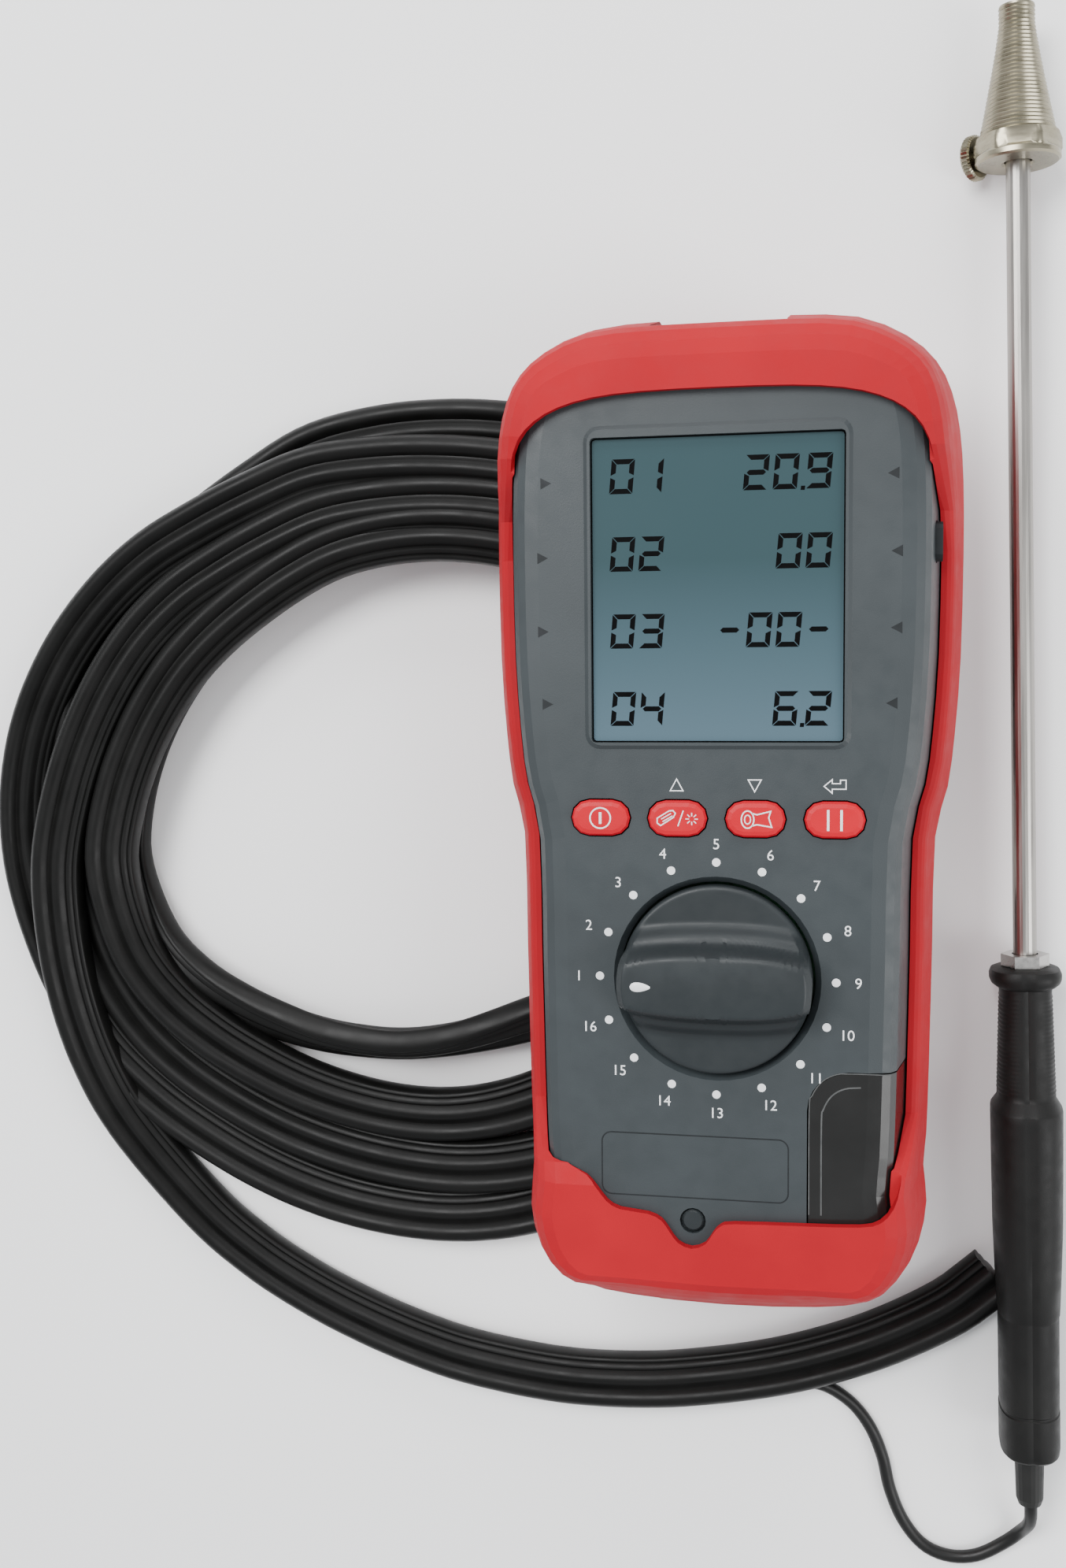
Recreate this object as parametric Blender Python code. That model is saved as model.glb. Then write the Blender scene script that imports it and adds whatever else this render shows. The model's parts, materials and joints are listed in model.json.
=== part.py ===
"""Handheld flue-gas analyser: meter in a rubber boot, lying on its coiled hose,
with the flue probe beside it.  Sizes are in millimetres, the scene is in metres."""
import math

import bmesh
import bpy
from mathutils import Vector

MM = 0.001
GAP = 0.3                      # clearance between neighbouring solids

# overall sizes of the meter in its boot
BOOT_WIDTH = 98.4
BOOT_LENGTH = 214.0
BOOT_BACK = 2.5
LIP_RISE = 2.2                 # the boot's end caps above the case face
SIDE_DROP = 14.0               # the boot's side rims below the case face
CASE_DEPTH = 41.0
SHELL_WALL = 2.2
CASE_INSET = 4.4               # case inside the boot's widest line

# hose and the coil that the meter lies on
HOSE_THICKNESS = 8.0
COIL_LAYERS = 2
CABLE_DIAMETER = 3.0

# face of the meter, measured from the middle of the boot
SCREEN_WIDTH = BOOT_WIDTH * 0.5142
SCREEN_HEIGHT = 61.2
SCREEN_Y = 0.2318              # shares of the boot's length
BUTTON_Y = 0.0168
DIAL_Y = -0.1369
TRAP_TOP_Y = -0.2238
FRONT_SCREW = (-4.9, -0.3748)
BUTTON_PITCH = BOOT_WIDTH * 0.1596
BUTTON_SIZE = (12.0, 7.3)
BUTTON_RISE = 1.1
BUTTON_TRAVEL = 0.8
KNOB_RADIUS = 19.4
KNOB_HEIGHT = 10.0
MOAT_WIDTH = 1.7
TRAP_LEFT = 18.6
TRAP_WALL = 2.0
TRAP_DEPTH = 30.0
TRAP_CORNER = 8.0
SPLIT_SHARE = 0.45             # height of the parting line in the case

# inside the case
BOARD_DROP = 15.0              # board's top below the face
BOARD_THICKNESS = 1.6
CELL_DIAMETER = 14.5
CELL_LENGTH = 50.5
O2_SENSOR = (14.5, 15.0)       # radius, height
CO_SENSOR = (10.0, 14.0)
PUMP_SIZE = (22.0, 24.0, 15.0)

# flue probe, along its own axis
PROBE_AT = (65.6, -33.0)       # nut face, from the middle of the boot
PROBE_TURN = math.radians(1.35)
PROBE_HEIGHT = 10.2            # axis above the table
TUBE_RADIUS = 2.6
TUBE_BORE = 1.7
TUBE_LENGTH = 209.0
HANDLE_LENGTH = 115.0
HANDLE_WIDTH = 15.8
CONE_LENGTH = 33.0
CONE_TIP_RADIUS = 3.7
CONE_BASE_RADIUS = 8.0
FLANGE_CORNER = 9.4
FLANGE_LENGTH = 4.0
DISC_RADIUS = 9.0
DISC_LENGTH = 1.6
THUMB_RADIUS = 4.9
THUMB_TILT = math.radians(-35)

COIL_TOP = HOSE_THICKNESS * COIL_LAYERS
BOOT_BOTTOM = COIL_TOP + GAP
CASE_BACK = BOOT_BOTTOM + BOOT_BACK + GAP
FACE = CASE_BACK + CASE_DEPTH
SPLIT = CASE_BACK + CASE_DEPTH * SPLIT_SHARE
INNER_INSET = CASE_INSET + SHELL_WALL
INNER_BACK = CASE_BACK + SHELL_WALL
INNER_FACE = FACE - SHELL_WALL
BOARD_TOP = FACE - BOARD_DROP
RIM = FACE - SIDE_DROP
CAP = FACE + LIP_RISE
WIDEST = BOOT_BOTTOM + 0.47 * (CAP - BOOT_BOTTOM)

# half outline of the boot: shares of half the width and of the length
OUTLINE = [(0.0, 0.500), (0.28, 0.500), (0.56, 0.495), (0.76, 0.475), (0.88, 0.450),
           (0.945, 0.420), (0.98, 0.383), (0.996, 0.335), (1.0, 0.266), (0.994, 0.168),
           (0.974, 0.094), (0.947, 0.040), (0.897, -0.010), (0.889, -0.12),
           (0.881, -0.238), (0.873, -0.308), (0.862, -0.341), (0.877, -0.378),
           (0.845, -0.421), (0.764, -0.459), (0.63, -0.486), (0.41, -0.496), (0.0, -0.500)]
# half outline of the opening in the boot's front, down to the lower lip
OPENING = [(0.0, 0.416), (0.30, 0.415), (0.50, 0.411), (0.64, 0.403), (0.74, 0.391), (0.81, 0.374),
           (0.852, 0.350), (0.875, 0.310), (0.885, 0.260), (0.875, 0.130), (0.840, 0.050),
           (0.795, 0.0), (0.775, -0.04), (0.765, -0.20), (0.760, -0.27)]
# lower lip, from its left end to its right end, with the notch round the front screw
LIP = [(-36.4, -0.296), (-34.3, -0.311), (-30.6, -0.325), (-27.0, -0.333), (-24.8, -0.344),
       (-22.6, -0.357), (-19.8, -0.364), (-14.0, -0.367), (-11.2, -0.373), (-9.6, -0.383),
       (-7.8, -0.394), (-5.0, -0.399), (-2.2, -0.394), (-0.6, -0.383), (1.0, -0.375),
       (4.0, -0.372), (18.0, -0.370), (29.0, -0.368), (33.0, -0.363), (35.6, -0.350),
       (37.0, -0.330), (37.4, -0.305)]
# the boot from its widest line up: share of the height, then how far it is drawn in along
# a low side, beside a cap, at the top end and at the bottom end
DRAFT = [(0.0, 0.0, 0.0, 0.0, 0.0), (0.165, 0.4, 0.7, 0.9, 1.6), (0.33, 0.8, 1.4, 1.9, 3.7),
         (0.50, 1.2, 2.2, 2.8, 5.6), (0.66, 1.6, 2.9, 3.7, 7.4), (0.78, 1.9, 3.7, 4.6, 8.9),
         (0.885, 2.3, 4.8, 6.0, 10.6), (0.96, 2.9, 6.6, 8.4, 12.2), (1.0, 3.7, 9.0, 11.5, 14.0)]


# ---------------------------------------------------------------- helpers
def clear_scene():
    for thing in list(bpy.data.objects):
        bpy.data.objects.remove(thing, do_unlink=True)


MATERIALS = {}


def material(name, colour, roughness, metallic=0.0, alpha=1.0):
    made = bpy.data.materials.new(name)
    made.use_nodes = True
    shader = made.node_tree.nodes["Principled BSDF"]
    shader.inputs["Base Color"].default_value = (*colour, 1.0)
    shader.inputs["Roughness"].default_value = roughness
    shader.inputs["Metallic"].default_value = metallic
    shader.inputs["Alpha"].default_value = alpha
    made.diffuse_color = (*colour, alpha)
    MATERIALS[name] = made


def make_materials():
    material("red_rubber", (0.60, 0.045, 0.050), 0.55)
    material("grey_plastic", (0.085, 0.10, 0.11), 0.45)
    material("dark_plastic", (0.035, 0.036, 0.038), 0.5)
    material("black_rubber", (0.012, 0.012, 0.012), 0.4)
    material("crimson_plastic", (0.68, 0.02, 0.045), 0.35)
    material("white_plastic", (0.75, 0.76, 0.77), 0.4)
    material("screen_glass", (0.20, 0.27, 0.31), 0.12)
    material("smoky_plastic", (0.03, 0.03, 0.03), 0.12, alpha=0.6)
    material("steel", (0.62, 0.62, 0.62), 0.25, 1.0)
    material("nickel", (0.60, 0.57, 0.50), 0.28, 1.0)
    material("brass", (0.65, 0.48, 0.20), 0.3, 1.0)
    material("board_green", (0.03, 0.14, 0.06), 0.5)


def new_object(name, mesh, finish, parent=None, smooth=0.6):
    made = bpy.data.objects.new(name, mesh)
    bpy.context.scene.collection.objects.link(made)
    if finish:
        made.data.materials.append(MATERIALS[finish])
    if parent:
        made.parent = parent
    mesh.shade_smooth()
    mesh.set_sharp_from_angle(angle=smooth)
    return made


def mesh_from(name, bm):
    bmesh.ops.recalc_face_normals(bm, faces=bm.faces)
    bmesh.ops.scale(bm, vec=(MM, MM, MM), verts=bm.verts)
    mesh = bpy.data.meshes.new(name)
    bm.to_mesh(mesh)
    bm.free()
    return mesh


def loft(name, rings, finish, parent=None, closed=False):
    """Skin a list of rings with equal point counts and cap both ends."""
    bm = bmesh.new()
    loops = [[bm.verts.new(p) for p in ring] for ring in rings]
    pairs = list(zip(loops, loops[1:]))
    if closed:
        pairs.append((loops[-1], loops[0]))
    for low, high in pairs:
        for i in range(len(low)):
            j = (i + 1) % len(low)
            bm.faces.new((low[i], low[j], high[j], high[i]))
    if not closed:
        bm.faces.new(loops[0][::-1])
        bm.faces.new(loops[-1])
    return new_object(name, mesh_from(name, bm), finish, parent)


def prism(name, outline, z0, z1, finish=None, parent=None):
    return loft(name, [[(x, y, z) for x, y in outline] for z in (z0, z1)], finish, parent)


def block(name, low, high, finish=None, parent=None):
    outline = [(low[0], low[1]), (high[0], low[1]), (high[0], high[1]), (low[0], high[1])]
    return prism(name, outline, low[2], high[2], finish, parent)


AXES = {"z": lambda r, a, h: (r * math.cos(a), r * math.sin(a), h),
        "y": lambda r, a, h: (r * math.cos(a), h, -r * math.sin(a)),
        "x": lambda r, a, h: (h, r * math.cos(a), r * math.sin(a))}


def turned(name, profile, finish=None, parent=None, axis="z", sides=24, at=(0, 0, 0)):
    """Revolve (radius, height) pairs; the first and last radius may be 0."""
    place = AXES[axis]
    bm = bmesh.new()
    rows = []
    for radius, height in profile:
        count = sides if radius > 0 else 1
        row = [place(radius, 2 * math.pi * i / sides, height) for i in range(count)]
        rows.append([bm.verts.new(Vector(p) + Vector(at)) for p in row])
    if len(rows[0]) > 1:
        rows.append(rows[0])
    for low, high in zip(rows, rows[1:]):
        for i in range(sides):
            j = (i + 1) % sides
            corners = [low[i % len(low)], low[j % len(low)],
                       high[j % len(high)], high[i % len(high)]]
            bm.faces.new([v for k, v in enumerate(corners) if v not in corners[:k]])
    return new_object(name, mesh_from(name, bm), finish, parent)


def rod(name, radius, low, high, finish=None, parent=None, axis="z", sides=24, at=(0, 0, 0)):
    profile = [(0, low), (radius, low), (radius, high), (0, high)]
    return turned(name, profile, finish, parent, axis, sides, at)


def combine(target, operation, *others):
    """Apply Booleans to target, in its own frame, and remove the other shapes."""
    for other in others:
        other.parent = target.parent
        step = target.modifiers.new("step", "BOOLEAN")
        step.operation = operation
        step.object = other
    view = bpy.context.evaluated_depsgraph_get()
    view.update()
    result = bpy.data.meshes.new_from_object(target.evaluated_get(view))
    target.modifiers.clear()
    target.data = result
    result.shade_smooth()
    result.set_sharp_from_angle(angle=0.6)
    for other in others:
        bpy.data.objects.remove(other, do_unlink=True)
    return target


def cut(target, *others):
    return combine(target, "DIFFERENCE", *others)


def join(target, *others):
    return combine(target, "UNION", *others)


def smooth_closed(points, steps):
    """Catmull-Rom curve through a closed list of points."""
    curve = []
    count = len(points)
    for i in range(count):
        p0, p1, p2, p3 = (Vector(points[(i + k) % count]) for k in (-1, 0, 1, 2))
        for s in range(steps):
            t = s / steps
            curve.append(0.5 * (2 * p1 + (p2 - p0) * t + (2 * p0 - 5 * p1 + 4 * p2 - p3) * t ** 2
                                + (3 * p1 - p0 - 3 * p2 + p3) * t ** 3))
    return curve


def smooth_open(points, spacing):
    """Catmull-Rom curve through an open list of points, read at an even spacing."""
    ends = [2 * Vector(points[0]) - Vector(points[1])]
    last = [2 * Vector(points[-1]) - Vector(points[-2])]
    line = ends + [Vector(p) for p in points] + last
    fine = []
    for p0, p1, p2, p3 in zip(line, line[1:], line[2:], line[3:]):
        for s in range(20):
            t = s / 20
            fine.append(0.5 * (2 * p1 + (p2 - p0) * t + (2 * p0 - 5 * p1 + 4 * p2 - p3) * t ** 2
                               + (3 * p1 - p0 - 3 * p2 + p3) * t ** 3))
    fine.append(Vector(points[-1]))
    total = sum((b - a).length for a, b in zip(fine, fine[1:]))
    step = total / max(2, round(total / spacing))
    read = [fine[0]]
    run = 0.0
    for a, b in zip(fine, fine[1:]):
        length = (b - a).length
        while length and run + length >= step * len(read) - 1e-6:
            read.append(a.lerp(b, (step * len(read) - run) / length))
        run += length
    if (read[-1] - fine[-1]).length > 1e-3:
        read.append(fine[-1])
    return read


def inset(points, distance):
    """Move a closed counter-clockwise outline inwards."""
    moved = []
    count = len(points)
    for i, point in enumerate(points):
        before = (point - points[i - 1]).normalized()
        after = (points[(i + 1) % count] - point).normalized()
        tangent = (before + after).normalized()
        inward = Vector((-tangent.y, tangent.x))
        moved.append(point + inward * distance / max(0.5, tangent.dot(after)))
    return moved


def rounded(low, high, radius, steps=5):
    """Rectangle with rounded corners, counter-clockwise."""
    corners = [(high[0] - radius, high[1] - radius, 0), (low[0] + radius, high[1] - radius, 90),
               (low[0] + radius, low[1] + radius, 180), (high[0] - radius, low[1] + radius, 270)]
    outline = []
    for x, y, start in corners:
        for i in range(steps + 1):
            angle = math.radians(start + 90 * i / steps)
            outline.append((x + radius * math.cos(angle), y + radius * math.sin(angle)))
    return outline


# ---------------------------------------------------------------- meter outlines
def meter_outline():
    right = [(x * BOOT_WIDTH / 2, y * BOOT_LENGTH) for x, y in OUTLINE]
    left = [(-x, y) for x, y in right[-2:0:-1]]
    return smooth_closed((right + left)[::-1], 2)


def ring(distance, z):
    return [(p.x, p.y, z) for p in inset(meter_outline(), distance)]


def drawn_ring(sides, top_end, bottom_end):
    """Outline drawn in by a different distance at the sides and at the two ends."""
    outline = meter_outline()
    near, far = inset(outline, 0.0), inset(outline, 1.0)
    drawn = []
    for point, edge, inner in zip(outline, near, far):
        inward = inner - edge
        share = min(1.0, inward.y ** 2)
        end = bottom_end if inward.y > 0 else top_end
        drawn.append(point + inward * (sides(point.y) * (1 - share) + end * share))
    return drawn


def top_point(points):
    """Index of the outline's middle at the top end."""
    return max(range(len(points)), key=lambda i: points[i].y - abs(points[i].x))


def falling(points):
    """Both sides of the outline run down from the top without turning back."""
    count = len(points)
    top = top_point(points)
    for step in (1, -1):
        for k in range(1, count // 2 + 1):
            above, point = points[(top + step * (k - 1)) % count], points[(top + step * k) % count]
            point.y = min(point.y, above.y - 0.02)
    return points


def case_rings(wall, back, face):
    """Outer or inner shape of the case: a drafted flank and a rounded edge along the face."""
    foot = face - CASE_DEPTH
    steps = [(back, 3.0, 3.0, 3.0), (back + 1.0, 1.2, 1.2, 1.2), (back + 4.0, 0.0, 0.0, 0.0),
             (foot + 0.46 * CASE_DEPTH, 0.0, 0.0, 0.0), (foot + 0.66 * CASE_DEPTH, 0.8, 0.6, 3.6),
             (face - 3.1, 2.9, 4.6, 8.0), (face - 1.3, 4.1, 5.8, 9.2), (face - 0.5, 5.8, 7.5, 10.9),
             (face, 8.6, 10.3, 13.6)]
    return [[(p.x, p.y, z) for p in drawn_ring(lambda y: wall + side, wall + top, wall + bottom)]
            for z, side, top, bottom in steps]


def opening_outline():
    half = [(x * BOOT_WIDTH / 2, y * BOOT_LENGTH) for x, y in OPENING]
    left = [(-x, y) for x, y in half]
    lip = [(x, y * BOOT_LENGTH) for x, y in LIP]
    return smooth_closed(left + lip + half[:0:-1], 2)


def cap_share(y):
    """0 along the boot's low sides, 1 where its ends wrap over the face."""
    share = y / BOOT_LENGTH
    run = (share - 0.28) / 0.095 if share > 0 else (-0.28 - share) / 0.056
    run = min(1.0, max(0.0, run))
    return run * run * (3 - 2 * run)


def trap_corner(grow, z0, z1):
    """Cutter for the lower right corner that the water trap fills."""
    x0 = TRAP_LEFT - grow
    y1 = TRAP_TOP_Y * BOOT_LENGTH + grow
    radius = TRAP_CORNER + grow
    arc = [(x0 + radius - radius * math.cos(a), y1 - radius + radius * math.sin(a))
           for a in (math.radians(15 * i) for i in range(7))]
    outline = arc + [(BOOT_WIDTH, y1), (BOOT_WIDTH, -BOOT_LENGTH), (x0, -BOOT_LENGTH)]
    return prism("trap_corner", outline[::-1], z0, z1)


# ---------------------------------------------------------------- boot and case
def boot_rings():
    """Rings from the boot's back, past its widest line, to the rims and the end caps."""
    rings = [ring(more, BOOT_BOTTOM + rise)
             for rise, more in [(0.0, 5.0), (1.0, 2.8), (3.5, 0.9), (8.0, 0.0)]]
    for share, low, high, top_end, bottom_end in DRAFT:
        drawn = falling(drawn_ring(lambda y: low + (high - low) * cap_share(y), top_end, bottom_end))
        rings.append([(p.x, p.y, WIDEST + share * (RIM - WIDEST + (CAP - RIM) * cap_share(p.y)))
                      for p in drawn])
    return rings


def loft_boot(meter):
    """Skin the rings; the front is closed by strips from side to side."""
    bm = bmesh.new()
    loops = [[bm.verts.new(p) for p in ring_points] for ring_points in boot_rings()]
    count = len(loops[0])
    for low, high in zip(loops, loops[1:]):
        for i in range(count):
            j = (i + 1) % count
            bm.faces.new((low[i], low[j], high[j], high[i]))
    bm.faces.new(loops[0][::-1])
    front = loops[-1]
    top = top_point([v.co for v in front])
    for k in range(count // 2):
        corners = [front[(top + k) % count], front[(top + k + 1) % count],
                   front[(top - k - 1) % count], front[(top - k) % count]]
        bm.faces.new([v for i, v in enumerate(corners) if v not in corners[:i]])
    return new_object("rubber_boot", mesh_from("rubber_boot", bm), "red_rubber", meter)


def make_boot(meter):
    boot = loft_boot(meter)
    cavity = loft("cavity", case_rings(CASE_INSET - GAP, CASE_BACK - GAP, FACE + GAP), None)
    opening = prism("opening", opening_outline(), FACE - 2.0, CAP + 5.0)
    end = -BOOT_LENGTH / 2
    ports = block("ports", (-20, end - 5, CASE_BACK + 2), (12, end + 9, CASE_BACK + 22))
    plug_x, plug_z = trap_middle()
    plug = rod("plug", 5.3, end - 5, end + 14, axis="y", at=(plug_x, 0, plug_z))
    window = block("window", (-13.7, -end - 8, CASE_BACK + 10), (13.7, -end + 5, FACE - 4))
    cut(boot, cavity)
    cut(boot, opening)
    cut(boot, ports, plug, window)


def rear_screw_places():
    side = BOOT_WIDTH / 2 * 0.68
    return [(side, 0.383 * BOOT_LENGTH), (-side, 0.383 * BOOT_LENGTH),
            (-BOOT_WIDTH / 2 * 0.54, -0.385 * BOOT_LENGTH)]


def front_screw_place():
    return FRONT_SCREW[0], FRONT_SCREW[1] * BOOT_LENGTH


def screen_box(grow):
    middle = SCREEN_Y * BOOT_LENGTH
    return ((-SCREEN_WIDTH / 2 - grow, middle - SCREEN_HEIGHT / 2 - grow),
            (SCREEN_WIDTH / 2 + grow, middle + SCREEN_HEIGHT / 2 + grow))


def make_front_shell(meter):
    shell = loft("front_shell", case_rings(CASE_INSET, CASE_BACK, FACE), "grey_plastic", meter)
    low, high = screen_box(2.9)
    bezel_low = rounded(low, (high[0], high[1] + 1.0), 4.0)
    bezel_top = rounded((low[0] + 2.3, low[1] + 2.3), (high[0] - 2.3, high[1] - 1.3), 2.6)
    bezel = loft("bezel", [[(x, y, FACE - 1.0) for x, y in bezel_low],
                           [(x, y, FACE + 0.5) for x, y in bezel_top]], None)
    join(shell, bezel)
    below = block("below", (-99, -199, 0), (99, 199, SPLIT + 1.0))
    hollow = loft("hollow", case_rings(INNER_INSET, INNER_BACK, INNER_FACE), None)
    cut(shell, hollow)
    cut(shell, below)
    dial_y = DIAL_Y * BOOT_LENGTH
    wide = KNOB_RADIUS + MOAT_WIDTH
    profile = [(0, FACE + 2), (wide + 1.6, FACE + 2), (wide, FACE), (KNOB_RADIUS + 0.5, FACE - 1.5),
               (KNOB_RADIUS + 0.5, INNER_FACE - 2), (0, INNER_FACE - 2)]
    well = turned("well", profile, sides=48, at=(0, dial_y, 0))
    screen = prism("screen", rounded(*screen_box(0.0), 0.8, 2), INNER_FACE - 2, FACE + 3)
    cut(shell, well)
    cut(shell, screen)
    for x in button_places():
        cut(shell, button_shape("hole", x, GAP, INNER_FACE - 4, FACE + 3))
    posts = [rod("post", 3.5, SPLIT + 1.0, INNER_FACE + 0.5, at=(x, y, 0), sides=16)
             for x, y in rear_screw_places()]
    join(shell, *posts)
    holes = [rod("hole", 1.6, SPLIT - 2, INNER_FACE - 3, at=(x, y, 0), sides=12)
             for x, y in rear_screw_places()]
    x, y = front_screw_place()
    holes.append(turned("hole", [(0, FACE + 3), (2.7, FACE + 3), (2.7, FACE - 1.4),
                                 (1.6, FACE - 1.4), (1.6, INNER_FACE - 2), (0, INNER_FACE - 2)],
                        at=(x, y, 0), sides=16))
    cut(shell, *holes)
    place, radius, reach = charge_socket_place()
    cut(shell, prism_along_x("socket", place, radius, reach, 8.0))
    cut(shell, trap_corner(GAP, 0, FACE + 9))


def make_rear_shell(meter):
    shell = loft("rear_shell", case_rings(CASE_INSET, CASE_BACK, FACE), "dark_plastic", meter)
    hollow = loft("hollow", case_rings(INNER_INSET, INNER_BACK, INNER_FACE), None)
    above = block("above", (-99, -199, SPLIT - 1.0), (99, 199, FACE + 9))
    cut(shell, hollow)
    cut(shell, above)
    places = rear_screw_places()
    posts = [rod("post", 3.5, INNER_BACK - 0.5, SPLIT - 1.0, at=(x, y, 0), sides=16)
             for x, y in places]
    x, y = front_screw_place()
    posts.append(rod("post", 3.5, INNER_BACK - 0.5, SPLIT - 1.0, at=(x, y, 0), sides=16))
    join(shell, *posts)
    holes = [turned("hole", [(0, CASE_BACK - 1), (3.3, CASE_BACK - 1), (3.3, CASE_BACK + 1.2),
                             (1.6, CASE_BACK + 1.2), (1.6, SPLIT + 2), (0, SPLIT + 2)],
                    at=(px, py, 0), sides=16) for px, py in places]
    holes.append(rod("hole", 1.6, INNER_BACK + 3, SPLIT + 2, at=(x, y, 0), sides=12))
    cut(shell, *holes)
    cut(shell, trap_corner(GAP, FACE - TRAP_DEPTH - GAP, FACE + 9))
    low, high = door_box(GAP)
    cut(shell, block("door", (*low, CASE_BACK - 2), (*high, INNER_BACK + 1)))


def door_box(grow):
    """Battery door in the back, under the cells."""
    low = (-27.0 - grow, 0.085 * BOOT_LENGTH - grow)
    return low, (27.0 + grow, low[1] + 2 * grow + CELL_LENGTH + 8)


def make_case_trim(meter):
    rings = [ring(CASE_INSET + 0.5, SPLIT - 0.7), ring(CASE_INSET + 0.5, SPLIT + 0.7),
             ring(INNER_INSET - 0.4, SPLIT + 0.7), ring(INNER_INSET - 0.4, SPLIT - 0.7)]
    seal = loft("case_seal", rings, "black_rubber", meter, closed=True)
    cut(seal, trap_corner(GAP, 0, FACE))
    low, high = door_box(0)
    block("battery_door", (*low, CASE_BACK), (*high, INNER_BACK), "dark_plastic", meter)
    for i, (x, y) in enumerate(rear_screw_places()):
        turned(f"rear_screw_{i + 1}", [(0, CASE_BACK), (3.0, CASE_BACK), (3.0, CASE_BACK + 0.9),
                                       (1.25, CASE_BACK + 0.9), (1.25, SPLIT + 12), (0, SPLIT + 12)],
               "steel", meter, sides=12, at=(x, y, 0))
    x, y = front_screw_place()
    turned("front_screw", [(0, FACE - 0.1), (1.9, FACE - 0.1), (2.3, FACE - 0.5), (2.3, FACE - 1.1),
                           (1.25, FACE - 1.1), (1.25, SPLIT - 12), (0, SPLIT - 12)][::-1],
           "steel", meter, sides=16, at=(x, y, 0))


# ---------------------------------------------------------------- face controls
def button_places():
    return [(i - 1.5) * BUTTON_PITCH for i in range(4)]


def stadium(width, height, grow, steps=6):
    radius = height / 2 + grow
    reach = width / 2 + grow - radius
    right = [(reach + radius * math.cos(a), radius * math.sin(a))
             for a in (math.radians(-90 + 180 * i / steps) for i in range(steps + 1))]
    return right + [(-x, -y) for x, y in right]


def button_shape(name, x, grow, z0, z1):
    y = BUTTON_Y * BOOT_LENGTH
    outline = [(x + px, y + py) for px, py in stadium(*BUTTON_SIZE, grow)]
    return prism(name, outline, z0, z1)


def make_buttons(meter):
    names = ("button_power", "button_pump", "button_torch", "button_hold")
    foot = BOARD_TOP + 3.4 + BUTTON_TRAVEL + GAP
    for name, x in zip(names, button_places()):
        levels = [(foot, -2.2), (INNER_FACE - 1.6, -2.2), (INNER_FACE - 1.6, 0.0),
                  (FACE + BUTTON_RISE - 0.8, 0.0), (FACE + BUTTON_RISE - 0.2, -0.4),
                  (FACE + BUTTON_RISE, -1.2)]
        rings = [[(px, py, z) for px, py in stadium(*BUTTON_SIZE, grow)] for z, grow in levels]
        button = loft(name, rings, "crimson_plastic", meter)
        button.location = Vector((x, BUTTON_Y * BOOT_LENGTH, 0)) * MM
        number = names.index(name) + 1
        block(f"tact_switch_{number}", (x - 3, BUTTON_Y * BOOT_LENGTH - 3, BOARD_TOP + GAP),
              (x + 3, BUTTON_Y * BOOT_LENGTH + 3, BOARD_TOP + 3.4), "dark_plastic", meter)


def bar_outline(shrink):
    """Grip bar of the knob: a long oval that narrows to the pointer end at -X."""
    reach = KNOB_RADIUS - 0.8 - shrink
    outline = []
    for i in range(32):
        angle = 2 * math.pi * i / 32
        x = reach * math.cos(angle)
        half = (6.5 - shrink) * (1 - 0.12 * (1 - x / reach) * 0.5)
        outline.append((x, half * math.copysign(abs(math.sin(angle)) ** 0.8, math.sin(angle))))
    return outline


def make_selector(meter):
    dial_y = DIAL_Y * BOOT_LENGTH
    rim = FACE + 1.6
    profile = [(0, BOARD_TOP + 9.4), (3.0, BOARD_TOP + 9.4), (3.0, FACE - 3.4),
               (KNOB_RADIUS - 0.4, FACE - 3.4), (KNOB_RADIUS, FACE - 3.0), (KNOB_RADIUS, rim - 1.0),
               (KNOB_RADIUS - 0.5, rim - 0.2),
               (KNOB_RADIUS - 1.6, rim), (KNOB_RADIUS * 0.6, rim + 0.3), (0, rim + 0.6)]
    knob = turned("selector_knob", profile[::-1], "grey_plastic", meter, sides=48)
    top = FACE + KNOB_HEIGHT
    levels = [(rim - 2.0, 0.0), (rim + 1.0, 0.0), (top - 2.2, 0.7), (top - 0.7, 1.5), (top, 3.0)]
    bar = loft("bar", [[(x, y, z) for x, y in bar_outline(s)] for z, s in levels], None)
    join(knob, bar)
    mark_x = -KNOB_RADIUS + 5.4
    mark = [(mark_x + 1.9 * math.cos(a), 0.95 * math.sin(a)) for a in
            (math.radians(30 * i) for i in range(12))]
    pocket = [(mark_x + 2.2 * math.cos(a), 1.25 * math.sin(a)) for a in
              (math.radians(30 * i) for i in range(12))]
    cut(knob, prism("pocket", pocket, top - 1.0, top + 2))
    inlay = prism("knob_pointer", mark, top - 0.7, top + 0.05, "white_plastic", meter)
    for piece in (knob, inlay):
        piece.location = Vector((0, dial_y, 0)) * MM
    rod("rotary_switch", 12.0, BOARD_TOP + GAP, BOARD_TOP + 9.0, "dark_plastic", meter,
        at=(0, dial_y, 0))


# ---------------------------------------------------------------- screen, trap and ports
def make_screen(meter):
    prism("lcd_lens", rounded(*screen_box(-GAP), 0.6, 2), FACE - 1.5, FACE - 0.7,
          "screen_glass", meter)
    low, high = screen_box(2.0)
    block("lcd_module", (*low, INNER_FACE - 6.0), (*high, INNER_FACE - GAP), "dark_plastic", meter)


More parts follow.
